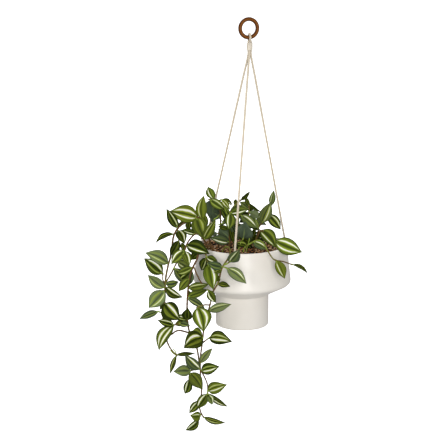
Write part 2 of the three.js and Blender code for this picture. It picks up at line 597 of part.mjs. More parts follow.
// ---------------------------------------------------------------- leaves and stems
// One blade: pointed, folded along its midrib, arched and bent sideways, with `face` out of its
// upper side.
function blade(root, tip, face, width, arch, bend) {
  const length = root.distanceTo(tip);
  const along = tip.clone().sub(root).normalize();
  const side = along.clone().cross(face);
  const middle = (t) => {
    const bow = 4 * t * (1 - t) * length;
    return root.clone()
      .addScaledVector(along, t * length)
      .addScaledVector(face, arch * bow)
      .addScaledVector(side, bend * bow);
  };
  const outline = width < SMALL_WIDTH ? SMALL_OUTLINE : BLADE_OUTLINE;
  const corners = [];
  for (const [t, share] of outline) {
    const half = (share * width) / 2;
    for (const way of [-1, 0, 1]) {
      const place = middle(t).addScaledVector(side, way * half);
      place.addScaledVector(face, Math.abs(way) * half * BLADE_FOLD);
      corners.push(place);
    }
  }
  corners.push(tip.clone());

  const upper = corners.map((place) => place.clone().addScaledVector(face, BLADE_THICK / 2));
  const lower = corners.map((place) => place.clone().addScaledVector(face, -BLADE_THICK / 2));
  const count = corners.length;
  const triangles = [];
  const skin = (a, b, c) => triangles.push([a, b, c], [c + count, b + count, a + count]);
  const edge = (a, b) => triangles.push([a, a + count, b], [b, a + count, b + count]);
  const last = 3 * (outline.length - 1);
  for (let row = 0; row < last; row += 3) {
    skin(row, row + 1, row + 4);
    skin(row, row + 4, row + 3);
    skin(row + 1, row + 2, row + 4);
    skin(row + 2, row + 5, row + 4);
    edge(row + 3, row);
    edge(row + 2, row + 5);
  }
  const point = count - 1;
  skin(last, last + 1, point);
  skin(last + 1, last + 2, point);
  edge(point, last);
  edge(last + 2, point);
  edge(0, 1);
  edge(1, 2);

  const geometry = new THREE.BufferGeometry().setFromPoints([...upper, ...lower]);
  geometry.setIndex(triangles.flat());
  const solid = solidOf(geometry);
  return solid.volume() > 0 ? solid : solidOf(flipped(geometry));
}

// The direction out of a blade's upper side: towards the viewer, rolled about the blade's length.
function faceOf(root, tip, roll) {
  const along = tip.clone().sub(root).normalize();
  const viewer = at(0, -1, 0);
  viewer.addScaledVector(along, -viewer.dot(along)).normalize();
  return viewer.applyAxisAngle(along, radians(roll));
}

// The place on the stems that shows nearest to (across, down) in the front view.
function nearestOn(ways, across, down) {
  const goal = new THREE.Vector2(across, down);
  let nearest = { gap: Infinity };
  for (const stations of ways) {
    for (let i = 0; i + 1 < stations.length; i += 1) {
      const from = showing(stations[i]);
      const reach = showing(stations[i + 1]).sub(from);
      const share = goal.clone().sub(from).dot(reach) / Math.max(reach.lengthSq(), 1e-6);
      const t = THREE.MathUtils.clamp(share, 0, 1);
      const gap = from.addScaledVector(reach, t).distanceTo(goal);
      if (gap < nearest.gap) nearest = { gap, place: stations[i].clone().lerp(stations[i + 1], t) };
    }
  }
  return nearest.place;
}

// The stations of a stem that stands in the soil: straight down for its root, then along its route.
function rootedStations(points) {
  const foot = points[0].clone().setZ(RIM_Z - GRAVEL_DROP - ROOT_DEPTH);
  const exit = points[0].clone().setZ(RIM_Z - GRAVEL_DROP + STEM_EXIT);
  return [foot, ...smooth([exit, ...points.slice(1)], STEM_STRIDE)];
}

const stemHoles = []; // the places where stems stand, for the soil and the granules

function stemStations({ thick, rooted }, points) {
  if (!rooted) return smooth(points, STEM_STRIDE);
  stemHoles.push({ x: points[0].x, y: points[0].y, radius: thick / 2 + 1.6 * CLEARANCE });
  return rootedStations(points);
}

function seenPlant({ name, stems, leaves }) {
  const ways = stems.map((stem) => stemStations(stem, stem.route.map((place) => seen(...place))));
  const tubes = stems.map(({ thick }, index) => tube(ways[index], thick / 2, STEM_SIDES));
  const blades = leaves.map(([u, v, tipU, tipV, further, width, roll, arch, bend]) => {
    const root = nearestOn(ways, u, v);
    const tip = seen(tipU, tipV, root.y + further);
    return blade(root, tip, faceOf(root, tip, roll), width, arch, bend);
  });
  return meshOf(name, joined([...tubes, ...blades]), LEAF);
}

function backPlant({ name, thick, bare, scale, route }, index) {
  const points = route.map(([x, y, z]) => at(POT_X + x, y, RIM_Z + z));
  const curve = new THREE.CatmullRomCurve3(points, false, 'centripetal');
  const ways = stemStations({ thick, rooted: true }, points);
  const solids = [tube(ways, thick / 2, STEM_SIDES)];
  const count = Math.floor(curve.getLength() / LEAF_EVERY);
  for (let leaf = bare + 1; leaf <= count; leaf += 1) {
    const root = curve.getPointAt(leaf / count);
    const along = curve.getTangentAt(leaf / count);
    const outward = at(root.x - POT_X, root.y, 20).normalize();
    const sideways = along.clone().cross(outward).normalize().multiplyScalar(leaf % 2 ? 1 : -1);
    const draw = spread(leaf, index);
    const reach = scale * (LEAF_REACH + LEAF_REACH_SPREAD * draw);
    const way = sideways.multiplyScalar(1.1)
      .addScaledVector(outward, 0.35 + 0.4 * spread(leaf, index + 1))
      .addScaledVector(along, 0.25 + 0.5 * spread(leaf, index + 2))
      .normalize();
    const tip = root.clone().addScaledVector(way, reach);
    const face = outward.clone().addScaledVector(at(0, 0, 1), 0.3);
    face.addScaledVector(way, -face.dot(way)).normalize();
    solids.push(blade(root, tip, face, reach * (0.42 + 0.1 * draw), LEAF_ARCH, 0));
  }
  return meshOf(name, joined(solids), LEAF);
}

function plants() {
  const groups = [TRAILING_LEFT, TRAILING_FRONT, CROWN_LEFT, CROWN_FRONT, CROWN_BACK, CROWN_RIGHT,
    TRAILING_RIGHT];
  return [...groups.map(seenPlant), ...BACK_STEMS.map(backPlant)];
}

// ---------------------------------------------------------------- soil and granules
// What is cut from the soil and the granules: a plain hole for each stem, and a pocket for each knot
// with the stretch of cord that leads to it.
function pockets() {
  const low = RIM_Z - GRAVEL_DROP - ROOT_DEPTH - CLEARANCE;
  const high = RIM_Z - GRAVEL_DROP + STEM_EXIT + 1;
  const holes = stemHoles.map(({ x, y, radius }) => tube([at(x, y, low), at(x, y, high)], radius, 8));
  for (const angle of Object.values(HOLE_ANGLES)) {
    const room = new THREE.IcosahedronGeometry(KNOT_THICK / 2 + 2.5 * CLEARANCE, 0);
    room.translate(...knotPlace(angle).toArray());
    const lead = [knotPlace(angle), around(angle, RIM_RADIUS, holeZ)];
    holes.push(solidOf(room), tube(lead, CORD_THICK / 2 + 2 * CLEARANCE, 8));
  }
  return joined(holes);
}

// The radius of the pot's inside at a drop below the rim.
function insideRadius(drop) {
  for (let i = 0; i + 1 < potInside.length; i += 1) {
    const [[r0, z0], [r1, z1]] = [potInside[i], potInside[i + 1]];
    if (-drop <= z0 && -drop >= z1) return r0 + ((r1 - r0) * (-drop - z0)) / (z1 - z0);
  }
  return 0;
}

function soilFill(cut) {
  const below = potInside.filter(([, drop]) => drop < -SOIL_DROP);
  const wall = below.map(([radius, drop]) => [Math.max(radius - CLEARANCE, 0), drop + CLEARANCE]);
  const top = [insideRadius(SOIL_DROP) - CLEARANCE, -SOIL_DROP];
  const body = turned(onRim([[0, -SOIL_DROP], top, ...wall]), POT_SEGMENTS, POT_X);
  return meshOf('soil', body.subtract(cut), SOIL);
}

// A bed of granules: a flat layer with the main grains standing out of its top as low pyramids.
function gravelBed(cut) {
  const reach = insideRadius(GRAVEL_DROP) - 2 * CLEARANCE;
  const low = -SOIL_DROP + CLEARANCE;
  const layer = [[0, low], [reach, low], [reach, -GRAVEL_DROP], [0, -GRAVEL_DROP]];
  const solids = [turned(onRim(layer), POT_SEGMENTS, POT_X)];
  for (let grain = 0; grain < GRAIN_COUNT; grain += 1) {
    const size = GRAIN_SIZE + GRAIN_SPREAD * spread(grain, 1);
    const radius = (reach - size - CLEARANCE) * Math.sqrt((grain + 0.5) / GRAIN_COUNT);
    const geometry = new THREE.OctahedronGeometry(size, 0);
    geometry.scale(1, 0.8 + 0.3 * spread(grain, 2), GRAIN_HEIGHT);
    geometry.rotateZ(6 * spread(grain, 4));
    const middle = around(grain * GOLDEN_ANGLE, radius, RIM_Z - GRAVEL_DROP - GRAIN_SINK);
    geometry.translate(...middle.toArray());
    solids.push(solidOf(geometry));
  }
  return meshOf('granules', joined(solids).subtract(cut), GRAVEL);
}

// ---------------------------------------------------------------- the object
const object = new THREE.Group();
object.add(hangingRing(), ...cords(), whipping(), pot(), ...plants());
const cut = pockets();
object.add(soilFill(cut), gravelBed(cut));

export default object;
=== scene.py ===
"""A glazed pot on three cords from a wooden ring, planted with a trailing tradescantia.

Metres, +Z up, +X to the viewer's right, +Y away from the viewer. The origin is the inside top
of the ring's eye. The plant's places are written in millimetres and in units of the front view.
"""

import math
import random

import bpy
from bpy.props import FloatProperty, FloatVectorProperty, IntProperty, PointerProperty
from mathutils import Matrix, Quaternion, Vector


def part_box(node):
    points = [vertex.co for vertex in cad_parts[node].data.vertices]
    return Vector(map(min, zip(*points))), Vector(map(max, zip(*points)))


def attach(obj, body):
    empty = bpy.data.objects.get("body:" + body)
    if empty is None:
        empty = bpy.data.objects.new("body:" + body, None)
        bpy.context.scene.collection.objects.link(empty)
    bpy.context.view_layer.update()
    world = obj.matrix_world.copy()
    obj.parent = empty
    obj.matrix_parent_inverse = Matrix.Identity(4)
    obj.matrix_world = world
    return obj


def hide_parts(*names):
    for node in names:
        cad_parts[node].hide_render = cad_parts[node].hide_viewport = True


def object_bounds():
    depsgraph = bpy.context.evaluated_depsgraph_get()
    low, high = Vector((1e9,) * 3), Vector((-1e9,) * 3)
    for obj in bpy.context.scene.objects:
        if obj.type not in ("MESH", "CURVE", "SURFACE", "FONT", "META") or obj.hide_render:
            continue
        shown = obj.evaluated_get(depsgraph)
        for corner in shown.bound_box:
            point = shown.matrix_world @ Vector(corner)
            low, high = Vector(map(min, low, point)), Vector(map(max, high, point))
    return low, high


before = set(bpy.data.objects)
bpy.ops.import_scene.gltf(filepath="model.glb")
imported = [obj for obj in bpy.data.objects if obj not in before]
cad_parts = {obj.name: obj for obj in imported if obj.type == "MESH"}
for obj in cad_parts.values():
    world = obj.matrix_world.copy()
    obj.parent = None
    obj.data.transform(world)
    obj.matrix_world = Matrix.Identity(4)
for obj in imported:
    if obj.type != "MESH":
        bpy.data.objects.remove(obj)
CAD_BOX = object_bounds()

bl_info = {
    "name": "Hanging tradescantia",
    "version": (1, 0, 0),
    "blender": (4, 5, 0),
    "location": "View3D > Sidebar > Tradescantia",
    "description": "Builds a hanging glazed pot with a trailing striped tradescantia",
    "category": "Add Mesh",
}

MM = 0.001

# ---------------------------------------------------------------- sizes from the frame
POT_LOW, POT_HIGH = (Vector(corner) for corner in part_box("pot"))
POT_X = (POT_LOW.x + POT_HIGH.x) / 2
RIM_Z = POT_HIGH.z
FOOT_Z = POT_LOW.z
SHOULDER_RADIUS = (POT_HIGH.x - POT_LOW.x) / 2
RING_LOW, RING_HIGH = (Vector(corner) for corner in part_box("hanging_ring"))
THREAD_LOW, THREAD_HIGH = (Vector(corner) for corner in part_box("whipping_thread"))
FLOOR_DROP = 0.16  # from the lowest leaf down to the floor
FLOOR_FRONT = -4.5
FLOOR_HALF_WIDTH = 6
SWEEP_RADIUS = 1.6  # of the floor's bend behind the object, which starts as far back
SWEEP_STEPS = 12
SWEEP_HEIGHT = 6

# ---------------------------------------------------------------- the cords' route
CLEARANCE = 0.3 * MM
RING_SECTION = 7.2 * MM
CORD_THICK = 4.2 * MM
CORD_CENTRE_X = 1.5 * MM
STRAND_RADIUS = 2.55 * MM
RIM_RADIUS = 84.4 * MM
WALL = 4.8 * MM
HOLE_DROP = 10 * MM
HOLE_RADIUS = 2.7 * MM
HOLE_SIDES = 24
HOLE_Z = RIM_Z - HOLE_DROP
HOLE_ANGLES = {"left": 140, "front": -100, "right": 22}
KNOT_INSET = 11.5 * MM
KNOT_DIP = 0.6 * MM
KNOT_SIZE = 0.72 * MM  # a third of the reach of a knot's line
KNOT_STRAND = 1.35 * MM  # radius of the cord in a knot
ROPE_STEP = 1.1 * MM
ROPE_SIDES = 21
ROPE_GROOVE = 0.2  # depth of the grooves between a rope's strands, as a share of its radius
THREAD_STEPS = 24  # for each turn of the whipping
THREAD_LAY = 4 * MM
RING_TURN = math.radians(18)
LOOP_TURN = math.radians(12)
RING_STEPS = 96
RING_SIDES = 28
RING_FLAT = 0.04  # how much flatter than a circle the ring's section is between its four sides

# ---------------------------------------------------------------- the pot's section
SHOULDER_DROP = 72.5 * MM
SHOULDER_CORNER = 1.6 * MM  # the shoulder's bend rounds off a corner this far outside it
SIDE_RADIUS = 87.1 * MM
SIDE_DROP = 36 * MM
LIP_ROUND = 1.9 * MM
INSIDE_ROUND = 3 * MM
FOOT_HOLLOW = 0.6 * MM
# The solid's bowl widens in a straight line from under its lip to this place.
SOLID_LIP_DROP = 3 * MM
SOLID_SIDE_DROP = 40 * MM
SOLID_SIDE_RADIUS = 87.2 * MM

# ---------------------------------------------------------------- the front view
VIEW_UNIT = 1.856 * MM
VIEW_MIDDLE = 224
EYE_DISTANCE = 2.4
EYE_RISE = math.radians(12.5)
AIM = Vector((-0.0445, 0, -0.3728))
VIEW_BACK = Vector((0, -math.cos(EYE_RISE), math.sin(EYE_RISE)))
VIEW_UP = Vector((0, math.sin(EYE_RISE), math.cos(EYE_RISE)))
EYE = AIM + VIEW_BACK * EYE_DISTANCE
SENSOR = 36  # mm, the camera's sensor

# ---------------------------------------------------------------- the plant's build
GRAVEL_DROP = 7 * MM
BED_GAP = 0.4 * MM  # how much smaller the bed's radius is than the mouth's
BED_DEPTH = 5 * MM
BED_RINGS = 24
BED_SIDES = 96
HILL_COUNT = 14
HILL_SPREAD = 0.0003  # square metres
GRAIN_COUNT = 60
GRAIN_SIZE = 2.7 * MM
GRAIN_SPREAD = 1.1 * MM
GRAIN_HEIGHT = 0.85
GRAIN_SINK = 0.3 * MM
GOLDEN_ANGLE = 137.5
ROOT_DEPTH = 18 * MM
STEM_EXIT = 4 * MM
LEAF_EVERY = 20 * MM
LEAF_REACH = 36 * MM  # a leaf's least length behind the pot, before its stem's scale
LEAF_REACH_SPREAD = 14 * MM
BACK_WIDTH = 0.42  # a leaf's least width behind the pot, as a share of its length
BACK_WIDTH_SPREAD = 0.1
GOLDEN_SHARE = 0.6180339887
BLADE_REACH = 1.02  # a blade's thin tip and edges show a little less than its row says
BLADE_WIDTH = 1.06
STEM_THICKER = 1.3
STEM_STEP = 2.5 * MM
STEM_TAPER = 0.18  # a stem's end is this much thinner, as a share
STEM_SWELL = 0.05
STEM_SWELL_RATE = 700  # radians a metre
LEAF_ROWS = 16
LEAF_COLUMNS = (-1, -0.8, -0.58, -0.34, -0.12, 0, 0.12, 0.34, 0.58, 0.8, 1)
# Half width along a leaf, from root to tip, as a share of its widest.
LEAF_OUTLINE = ((0, 0.08), (0.05, 0.2), (0.12, 0.52), (0.22, 0.8), (0.34, 0.96), (0.45, 1),
                (0.58, 0.94), (0.7, 0.76), (0.82, 0.48), (0.92, 0.21), (1, 0.015))
STEM_SIDES = 9
GRAIN_ROWS = 6
GRAIN_SIDES = 9
OLD_STEM = 2.3 * MM  # a stem thicker than this is old
OLD_FRESH = (0.1, 0.4)  # how fresh and green a stem is, at its foot and at its end
YOUNG_FRESH = (0.45, 0.85)
SLEEVE_RADIUS = 1.3 * MM
SLEEVE_BELOW = 3.5 * MM
SLEEVE_ABOVE = 2.5 * MM
RIB_SHARE = 0.14  # how much of a blade its raised rib takes up
RIB_LONGEST = 7 * MM
RIB_RADIUS = 1.1 * MM
RIB_TAPER = 0.5 * MM
LEAF_TWIST = 9  # degrees either way
WAVE_RANGE = (0.4, 1.2)
WAVE_WIDTH = 20 * MM  # the width of a blade that waves as far as its setting says
FOLD_RANGE = (0.7, 1.25)
# A leaf's tone: how bright it is, and how far it goes from green to blue-grey. The dark tones d and n
# are partly the leaves' own colour and partly painted shade: leaves that lie in shade get them, and
# so do the small plain dark leaves that fill the crown's shaded middle. The letter u is for
# a leaf that looks like an underside on both faces.
TONES = {"d": (0.05, 0.0), "m": (0.5, 0.08), "b": (0.92, 0.0), "s": (0.7, 0.55), "n": (0.2, 0.85),
         "p": (1.0, 0.9), "u": (0.0, 1.0)}
BACK_LOOKS = ("89m", "18d", "94b", "60s", "29d", "77m", "05b", "83n")
BACK_ARCH = 0.07

# A stem: its thickness in mm, whether it stands in the soil, how fresh it is at its foot and its
# end where its thickness doesn't say, and its places in the front view as (across, down, y in mm).
# A leaf: where it grows from its stem (across, down), where its tip shows (across, down), how much
# further back the tip lies, then its width in mm, its roll in degrees (0 turns its upper face to
# the viewer), its arch and its bend to the right as shares of its length, and its looks: the
# strength of the left and right stripe from 0 to 9, and the letter of its tone.
TRAILING_LEFT = {
    "node": "trailing_stems_left",
    "stems": (
        {"thick": 3.2, "rooted": True, "route": ((211, 248, -18), (208, 234, -22), (203.5, 221, -27),
            (197.5, 217.5, -30), (188, 221, -32), (179, 227, -33), (174, 235, -34), (171, 255, -36),
            (168, 266, -39), (165.5, 280, -41), (165, 292, -42), (164.5, 304, -42), (163, 319, -42))},
        {"thick": 2.6, "rooted": True, "fresh": (0.1, 0.3), "route": ((208.5, 250.5, -35),
            (204, 240, -45), (196, 234, -52), (188, 242, -54), (184, 252, -53), (176, 264, -50),
            (172, 272, -47), (165.5, 283, -41))},
        {"thick": 3, "rooted": True, "route": ((214, 253, -48), (210, 246, -52), (204, 246, -60),
            (199, 252, -65), (197, 259, -66), (193.5, 266, -66), (190.5, 274, -66), (188, 290, -66),
            (187, 310, -65), (187.5, 320, -64), (189.5, 332, -64), (196, 345, -66), (198.5, 357, -68),
            (199.5, 366, -70))},
        {"thick": 2.2, "route": ((177, 228.5, -33), (179, 234, -34), (179, 240, -36))},
        {"thick": 2.6, "route": ((204, 246, -60), (205.5, 253, -74), (207, 259, -80), (208.5, 265, -83))},
        {"thick": 2.2, "fresh": (0, 0.1), "route": ((193.5, 266, -66), (195, 270, -70), (198, 277, -74),
            (202, 284, -77))},
        {"thick": 2, "fresh": (0.3, 0.4), "route": ((165, 284, -41), (162.9, 280, -42), (162.8, 274, -42))},
        {"thick": 2, "route": ((163.6, 311.5, -42), (161, 312.4, -42.5), (158.5, 311.6, -43))},
        {"thick": 2.4, "route": ((187.5, 320, -64), (181, 323, -62), (174, 325, -60))},
        {"thick": 1.6, "route": ((176.3, 355, -56), (175.3, 351.5, -57), (173, 349, -58))},
        {"thick": 1.6, "route": ((175.8, 355, -56), (173.3, 353.5, -54), (170.3, 350.3, -53))},
        {"thick": 2.6, "route": ((190, 333, -64), (178, 330.5, -60), (172, 334, -58), (167, 338.5, -56),
            (168.5, 345, -56), (172, 350.5, -56), (177, 356, -56))},
    ),
    "leaves": (
        (198.5, 217.5, 170, 211.5, -5, 31, 16, 0.06, 0.03, "89b"),
        (178, 228.5, 166.6, 208.8, -7, 17, -10, 0.05, 0.02, "17d"),
        (174, 234, 155.8, 243, -4, 14, 60, 0.15, 0.01, "22d"),
        (179, 230, 184.2, 243.8, -22, 19, -15, 0.06, -0.06, "80d"),
        (178.5, 240, 170, 255.8, -4, 19, -28, 0.05, 0.05, "21d"),
        (202, 220.5, 204, 195.8, 4, 20, 6, 0.05, -0.09, "61b"),
        (196.5, 219, 203.6, 238.3, -22, 28, -8, 0.09, 0.01, "40m"),
        (206, 238, 215.6, 219, -17, 19, 15, 0.05, -0.03, "62m"),
        (196, 234, 182, 230, 4, 12, 30, 0.05, 0, "70d"),
        (188, 221.5, 177.3, 226.3, 11, 8, 40, 0.05, 0.02, "02d"),
        (187.5, 245.5, 209, 253.6, -22, 26, -18, 0.07, -0.06, "18d"),
        (171, 264.5, 145.4, 253, -4, 24, 20, 0.09, 0.07, "52p"),
        (184.5, 250, 171.5, 264, -14, 20, 20, 0.06, 0.02, "39m"),
        (184.5, 251, 189.2, 266, -18, 17, -10, 0.06, -0.02, "91m"),
        (163.8, 274, 144.4, 258.6, -2, 25, 14, 0.06, 0.01, "49d"),
        (165, 288, 148, 275, 3, 19, 8, 0.05, -0.04, "50p"),
        (165, 290, 149, 307.6, -3, 28, 8, 0.05, 0.0, "63p"),
        (165.5, 286.5, 182.8, 297, -6, 16, -16, 0.08, 0.13, "90d"),
        (165.5, 284, 178.5, 281.5, 5, 14, -25, 0.05, 0.12, "33n"),
        (190.5, 272, 179.5, 281, 18, 16, 10, 0.06, 0, "25d"),
        (189.5, 278, 179, 291, 2, 16, 25, 0.06, 0, "13m"),
        (174, 268, 188, 284.5, -6, 18, -15, 0.06, 0, "42n"),
        (177, 261.5, 190.5, 269.5, -8, 18, -30, 0.06, 0, "27s"),
        (158.5, 311.6, 139.6, 318.9, -3, 14, 35, 0.1, -0.02, "31n"),
        (164.5, 303, 180, 319.6, -22, 33, -12, 0.07, 0.07, "92d"),
        (187.5, 320, 188.2, 308.3, -8, 19, -10, 0.05, -0.03, "01d"),
        (187.5, 320, 175.5, 316.2, 5, 13, 25, 0.05, 0, "58d"),
        (187.5, 320, 174.5, 325, 9, 12, 10, 0.05, 0, "12m"),
        (174, 325, 157.8, 320.3, -4, 15, 30, 0.12, -0.04, "37d"),
        (174, 325, 159.2, 350, -8, 23, 10, 0.07, 0.13, "99m"),
        (180, 323.5, 190, 325.5, -15, 12, -30, 0.08, 0, "14n"),
        (188, 288, 208.6, 284.2, -9, 16, -20, 0.08, 0.03, "61m"),
        (187.5, 297, 207.5, 289.8, 3, 15, -28, 0.08, 0.02, "12m"),
        (187.5, 298, 205, 309, -8, 13, -12, 0.08, -0.06, "15n"),
        (208.5, 264, 213, 289.1, -22, 26, -10, 0.06, 0, "90b"),
        (207, 257, 201.6, 270, 22, 16, 30, 0.06, -0.02, "61d"),
        (206.5, 257, 218, 262.4, -11, 13, -20, 0.08, 0, "08d"),
        (176.8, 354.6, 194.9, 353.4, -3, 9, -50, 0.02, 0.03, "13d"),
        (176.3, 355.5, 170.2, 373.4, -2, 11, 40, 0.04, -0.03, "25d"),
        (190, 220.5, 187.5, 230, 6, 11, 10, 0.05, 0, "20d"),
        (191.8, 270, 188.8, 285, 9, 11, 10, 0.05, -0.05, "02n"),
        (198.5, 251, 190.5, 259.5, 10, 13, 20, 0.05, 0, "00d"),
        (184.5, 251, 181.5, 242.5, 6, 9, 10, 0.05, 0, "21d"),
        (165.4, 281, 160.5, 287, 8, 8, 10, 0.05, 0, "00d"),
        (164.5, 302, 160, 309.5, 6, 7, 10, 0.05, 0, "00d"),
        (188, 290, 191.5, 298, 6, 7, -10, 0.05, 0, "00d"),
        (187, 264.5, 177.5, 273.5, 9, 14, 10, 0.05, 0, "52m"),
        (207, 227, 203.3, 212.5, 3, 11, 12, 0.05, 0, "33b"),
    ),
}

TRAILING_FRONT = {
    "node": "trailing_stems_front",
    "stems": (
        {"thick": 2.6, "rooted": True, "fresh": (0.5, 0.12), "route": ((222.5, 252.5, -50), (225.5, 247, -62),
            (229.5, 248.5, -81), (230, 254.5, -95), (226.5, 261, -99), (222, 268, -101), (218, 283, -102),
            (213, 292, -102), (210, 305, -102), (208, 312, -102), (204, 329, -101), (202, 345, -100),
            (200.5, 357, -98), (200.5, 380, -98), (201.5, 392, -98), (199.5, 406, -98), (201, 413, -98),
            (203.5, 417, -98))},
        {"thick": 2.2, "route": ((223.5, 265, -100), (226.5, 264, -103), (229.5, 262, -105))},
        {"thick": 2, "route": ((222.3, 267, -101), (224.5, 267.2, -103), (226.5, 268, -105))},
        {"thick": 2, "route": ((213, 292, -102), (210.5, 291.2, -104), (208.3, 290.3, -105))},
        {"thick": 2.2, "fresh": (0.2, 0.5), "route": (
            (210, 305, -102), (204, 305, -105), (197.5, 307.3, -107))},
        {"thick": 2.2, "fresh": (0.2, 0.35), "route": (
            (202.5, 343, -100), (205, 341, -101), (209, 338, -103))},
        {"thick": 2.2, "fresh": (0.1, 0.3), "route": ((200.5, 368, -98), (195, 369.5, -97), (190, 371.5, -97),
            (189.5, 380, -98))},
        {"thick": 2.2, "fresh": (0.1, 0.3), "route": ((200.5, 370, -98), (204, 376, -100), (207.5, 385, -101),
            (207.5, 396, -102))},
        {"thick": 2, "route": ((201, 413, -98), (200, 416.5, -99), (199, 419.5, -101))},
    ),
    "leaves": (
        (222.5, 267, 207.5, 262.5, -7, 15, 15, 0.06, -0.05, "21n"),
        (221.5, 270, 214, 273, -10, 9, 20, 0.05, 0, "14m"),
        (229.5, 262, 239.5, 249.4, -22, 20, 10, 0.04, 0, "70n"),
        (226.5, 268, 246, 283.4, -9, 20, -8, 0.06, -0.06, "71p"),
        (217.5, 284, 230, 286.5, -4, 11, -35, 0.1, 0, "03d"),
        (208.3, 290.3, 215.8, 302.6, -10, 15, -10, 0.06, 0.04, "09d"),
        (208, 311, 231, 304.4, -5, 16, -12, 0.08, -0.03, "60p"),
        (197.5, 307.3, 203.3, 331.4, -22, 33, -5, 0.07, -0.09, "99b"),
        (203.2, 337, 192.3, 331.3, 17, 18, 0, 0.05, 0.14, "63b"),
        (203, 338, 184, 348, -22, 32, 18, 0.08, 0.11, "29d"),
        (209, 338, 231.6, 342, -22, 24, -12, 0.07, -0.1, "59d"),
        (200.5, 363.3, 212.3, 348.4, 5, 14, 10, 0.04, -0.08, "31p"),
        (200.5, 369.5, 185.2, 354.6, -6, 20, 10, 0.05, -0.06, "09n"),
        (190.5, 371, 173.5, 371.6, -15, 20, 22, 0.07, 0.03, "22p"),
        (189.5, 373, 202.4, 389.4, -20, 23, -8, 0.08, -0.05, "20m"),
        (189.5, 379, 184.8, 393.4, 7, 16, 14, 0.05, -0.08, "28d"),
        (200.8, 371, 219.2, 366.7, -10, 21, -12, 0.08, -0.05, "48d"),
        (207.3, 390.8, 226.6, 384.8, -21, 22, -12, 0.06, -0.05, "57b"),
        (208, 393.5, 227.7, 406.4, -3, 11, -20, 0.05, 0.05, "08d"),
        (207.7, 395, 212, 404.8, -9, 14, -10, 0.04, -0.12, "81s"),
        (207, 393.5, 197.1, 408.4, -5, 18, 12, 0.05, 0, "09d"),
        (200, 401, 189.4, 413, -5, 15, 16, 0.05, 0.01, "38d"),
        (200.5, 415.5, 190.4, 415.4, -12, 18, 16, 0.05, -0.08, "07b"),
        (199, 419.5, 185.4, 430.1, -5, 14, 12, 0.05, -0.1, "08d"),
        (203.3, 416.8, 225.1, 422.5, -4, 11, -18, 0.02, 0.07, "35d"),
        (218.8, 282, 218.3, 275.5, -5, 6, 10, 0.05, 0, "00d"),
    ),
}

CROWN_LEFT = {
    "node": "crown_stem_left",
    "stems": (
        {"thick": 2.8, "rooted": True, "route": ((218.5, 248, -6), (219.5, 238, -7), (220.5, 224, -8),
            (220, 210, -9), (217, 202, -9), (213.5, 199.3, -9), (209, 199.5, -10))},
        {"thick": 1.8, "route": ((217, 202, -9), (222, 199.8, -12), (228, 202, -14), (231, 205, -15))},
        {"thick": 1.8, "route": ((220.3, 214, -9), (217.5, 217, -12), (213.5, 219.5, -15))},
        {"thick": 1.6, "route": ((220.3, 220, -9), (224, 222.5, -13), (217.5, 225, -19))},
    ),
    "leaves": (
        (214.5, 199.5, 208, 187, 18, 16, 12, 0.05, -0.05, "82m"),
        (209.5, 199.5, 225, 210.3, -9, 17, -18, 0.08, 0, "64m"),
        (213.8, 199.3, 211.8, 221.5, 22, 31, 185, 0.06, 0, "10n"),
        (220.5, 218, 209.5, 209, 22, 18, 190, 0.05, 0, "10n"),
        (221, 200, 232.4, 205.2, -6, 9, -24, 0.06, -0.12, "09d"),
        (222, 200, 229.8, 209.2, -12, 12, -10, 0.05, 0, "67b"),
    ),
}

CROWN_FRONT = {
    "node": "crown_stem_front",
    "stems": (
        {"thick": 2.8, "rooted": True, "route": ((229, 250, -25), (229.5, 240, -27), (229.5, 228, -31),
            (229.5, 215, -33), (232.5, 208, -31), (240.3, 200.4, -28))},
    ),
    "leaves": (
        (229.5, 213, 248.5, 209.5, -8, 17, -30, 0.08, 0, "19m"),
        (230.3, 213.2, 228.6, 229.4, -13, 20, 6, 0.06, -0.08, "28m"),
        (229, 242, 209.7, 237.4, -12, 18, 28, 0.08, -0.03, "90n"),
        (229.5, 238, 218.5, 229, 6, 19, 175, 0.05, 0, "10n"),
        (240.2, 200.6, 249.8, 191.5, 1, 12, 45, 0.03, -0.03, "11d"),
        (235.5, 206.3, 236, 199, 8, 8, 10, 0.04, 0, "11d"),
        (229.5, 244, 224, 231.5, 4, 15, 160, 0.05, 0.05, "10d"),
        (229.5, 225, 233.5, 243.5, 4, 10, -20, 0.05, 0, "01d"),
        (229.5, 222, 239, 240, 8, 11, 15, 0.06, -0.05, "00n"),
        (230.5, 211.5, 237, 204.5, 5, 8, 20, 0.04, 0, "11s"),
        (229.5, 229, 218.3, 226.3, 8, 9, 10, 0.05, 0, "00d"),
        (229.5, 221, 221, 209, 7, 13, 5, 0.05, 0.04, "10d"),
        (229.5, 217, 224, 205.5, 10, 9, 20, 0.05, 0, "30m"),
        (229.6, 234, 238.5, 225, 7, 9, 10, 0.05, 0, "00d"),
    ),
}

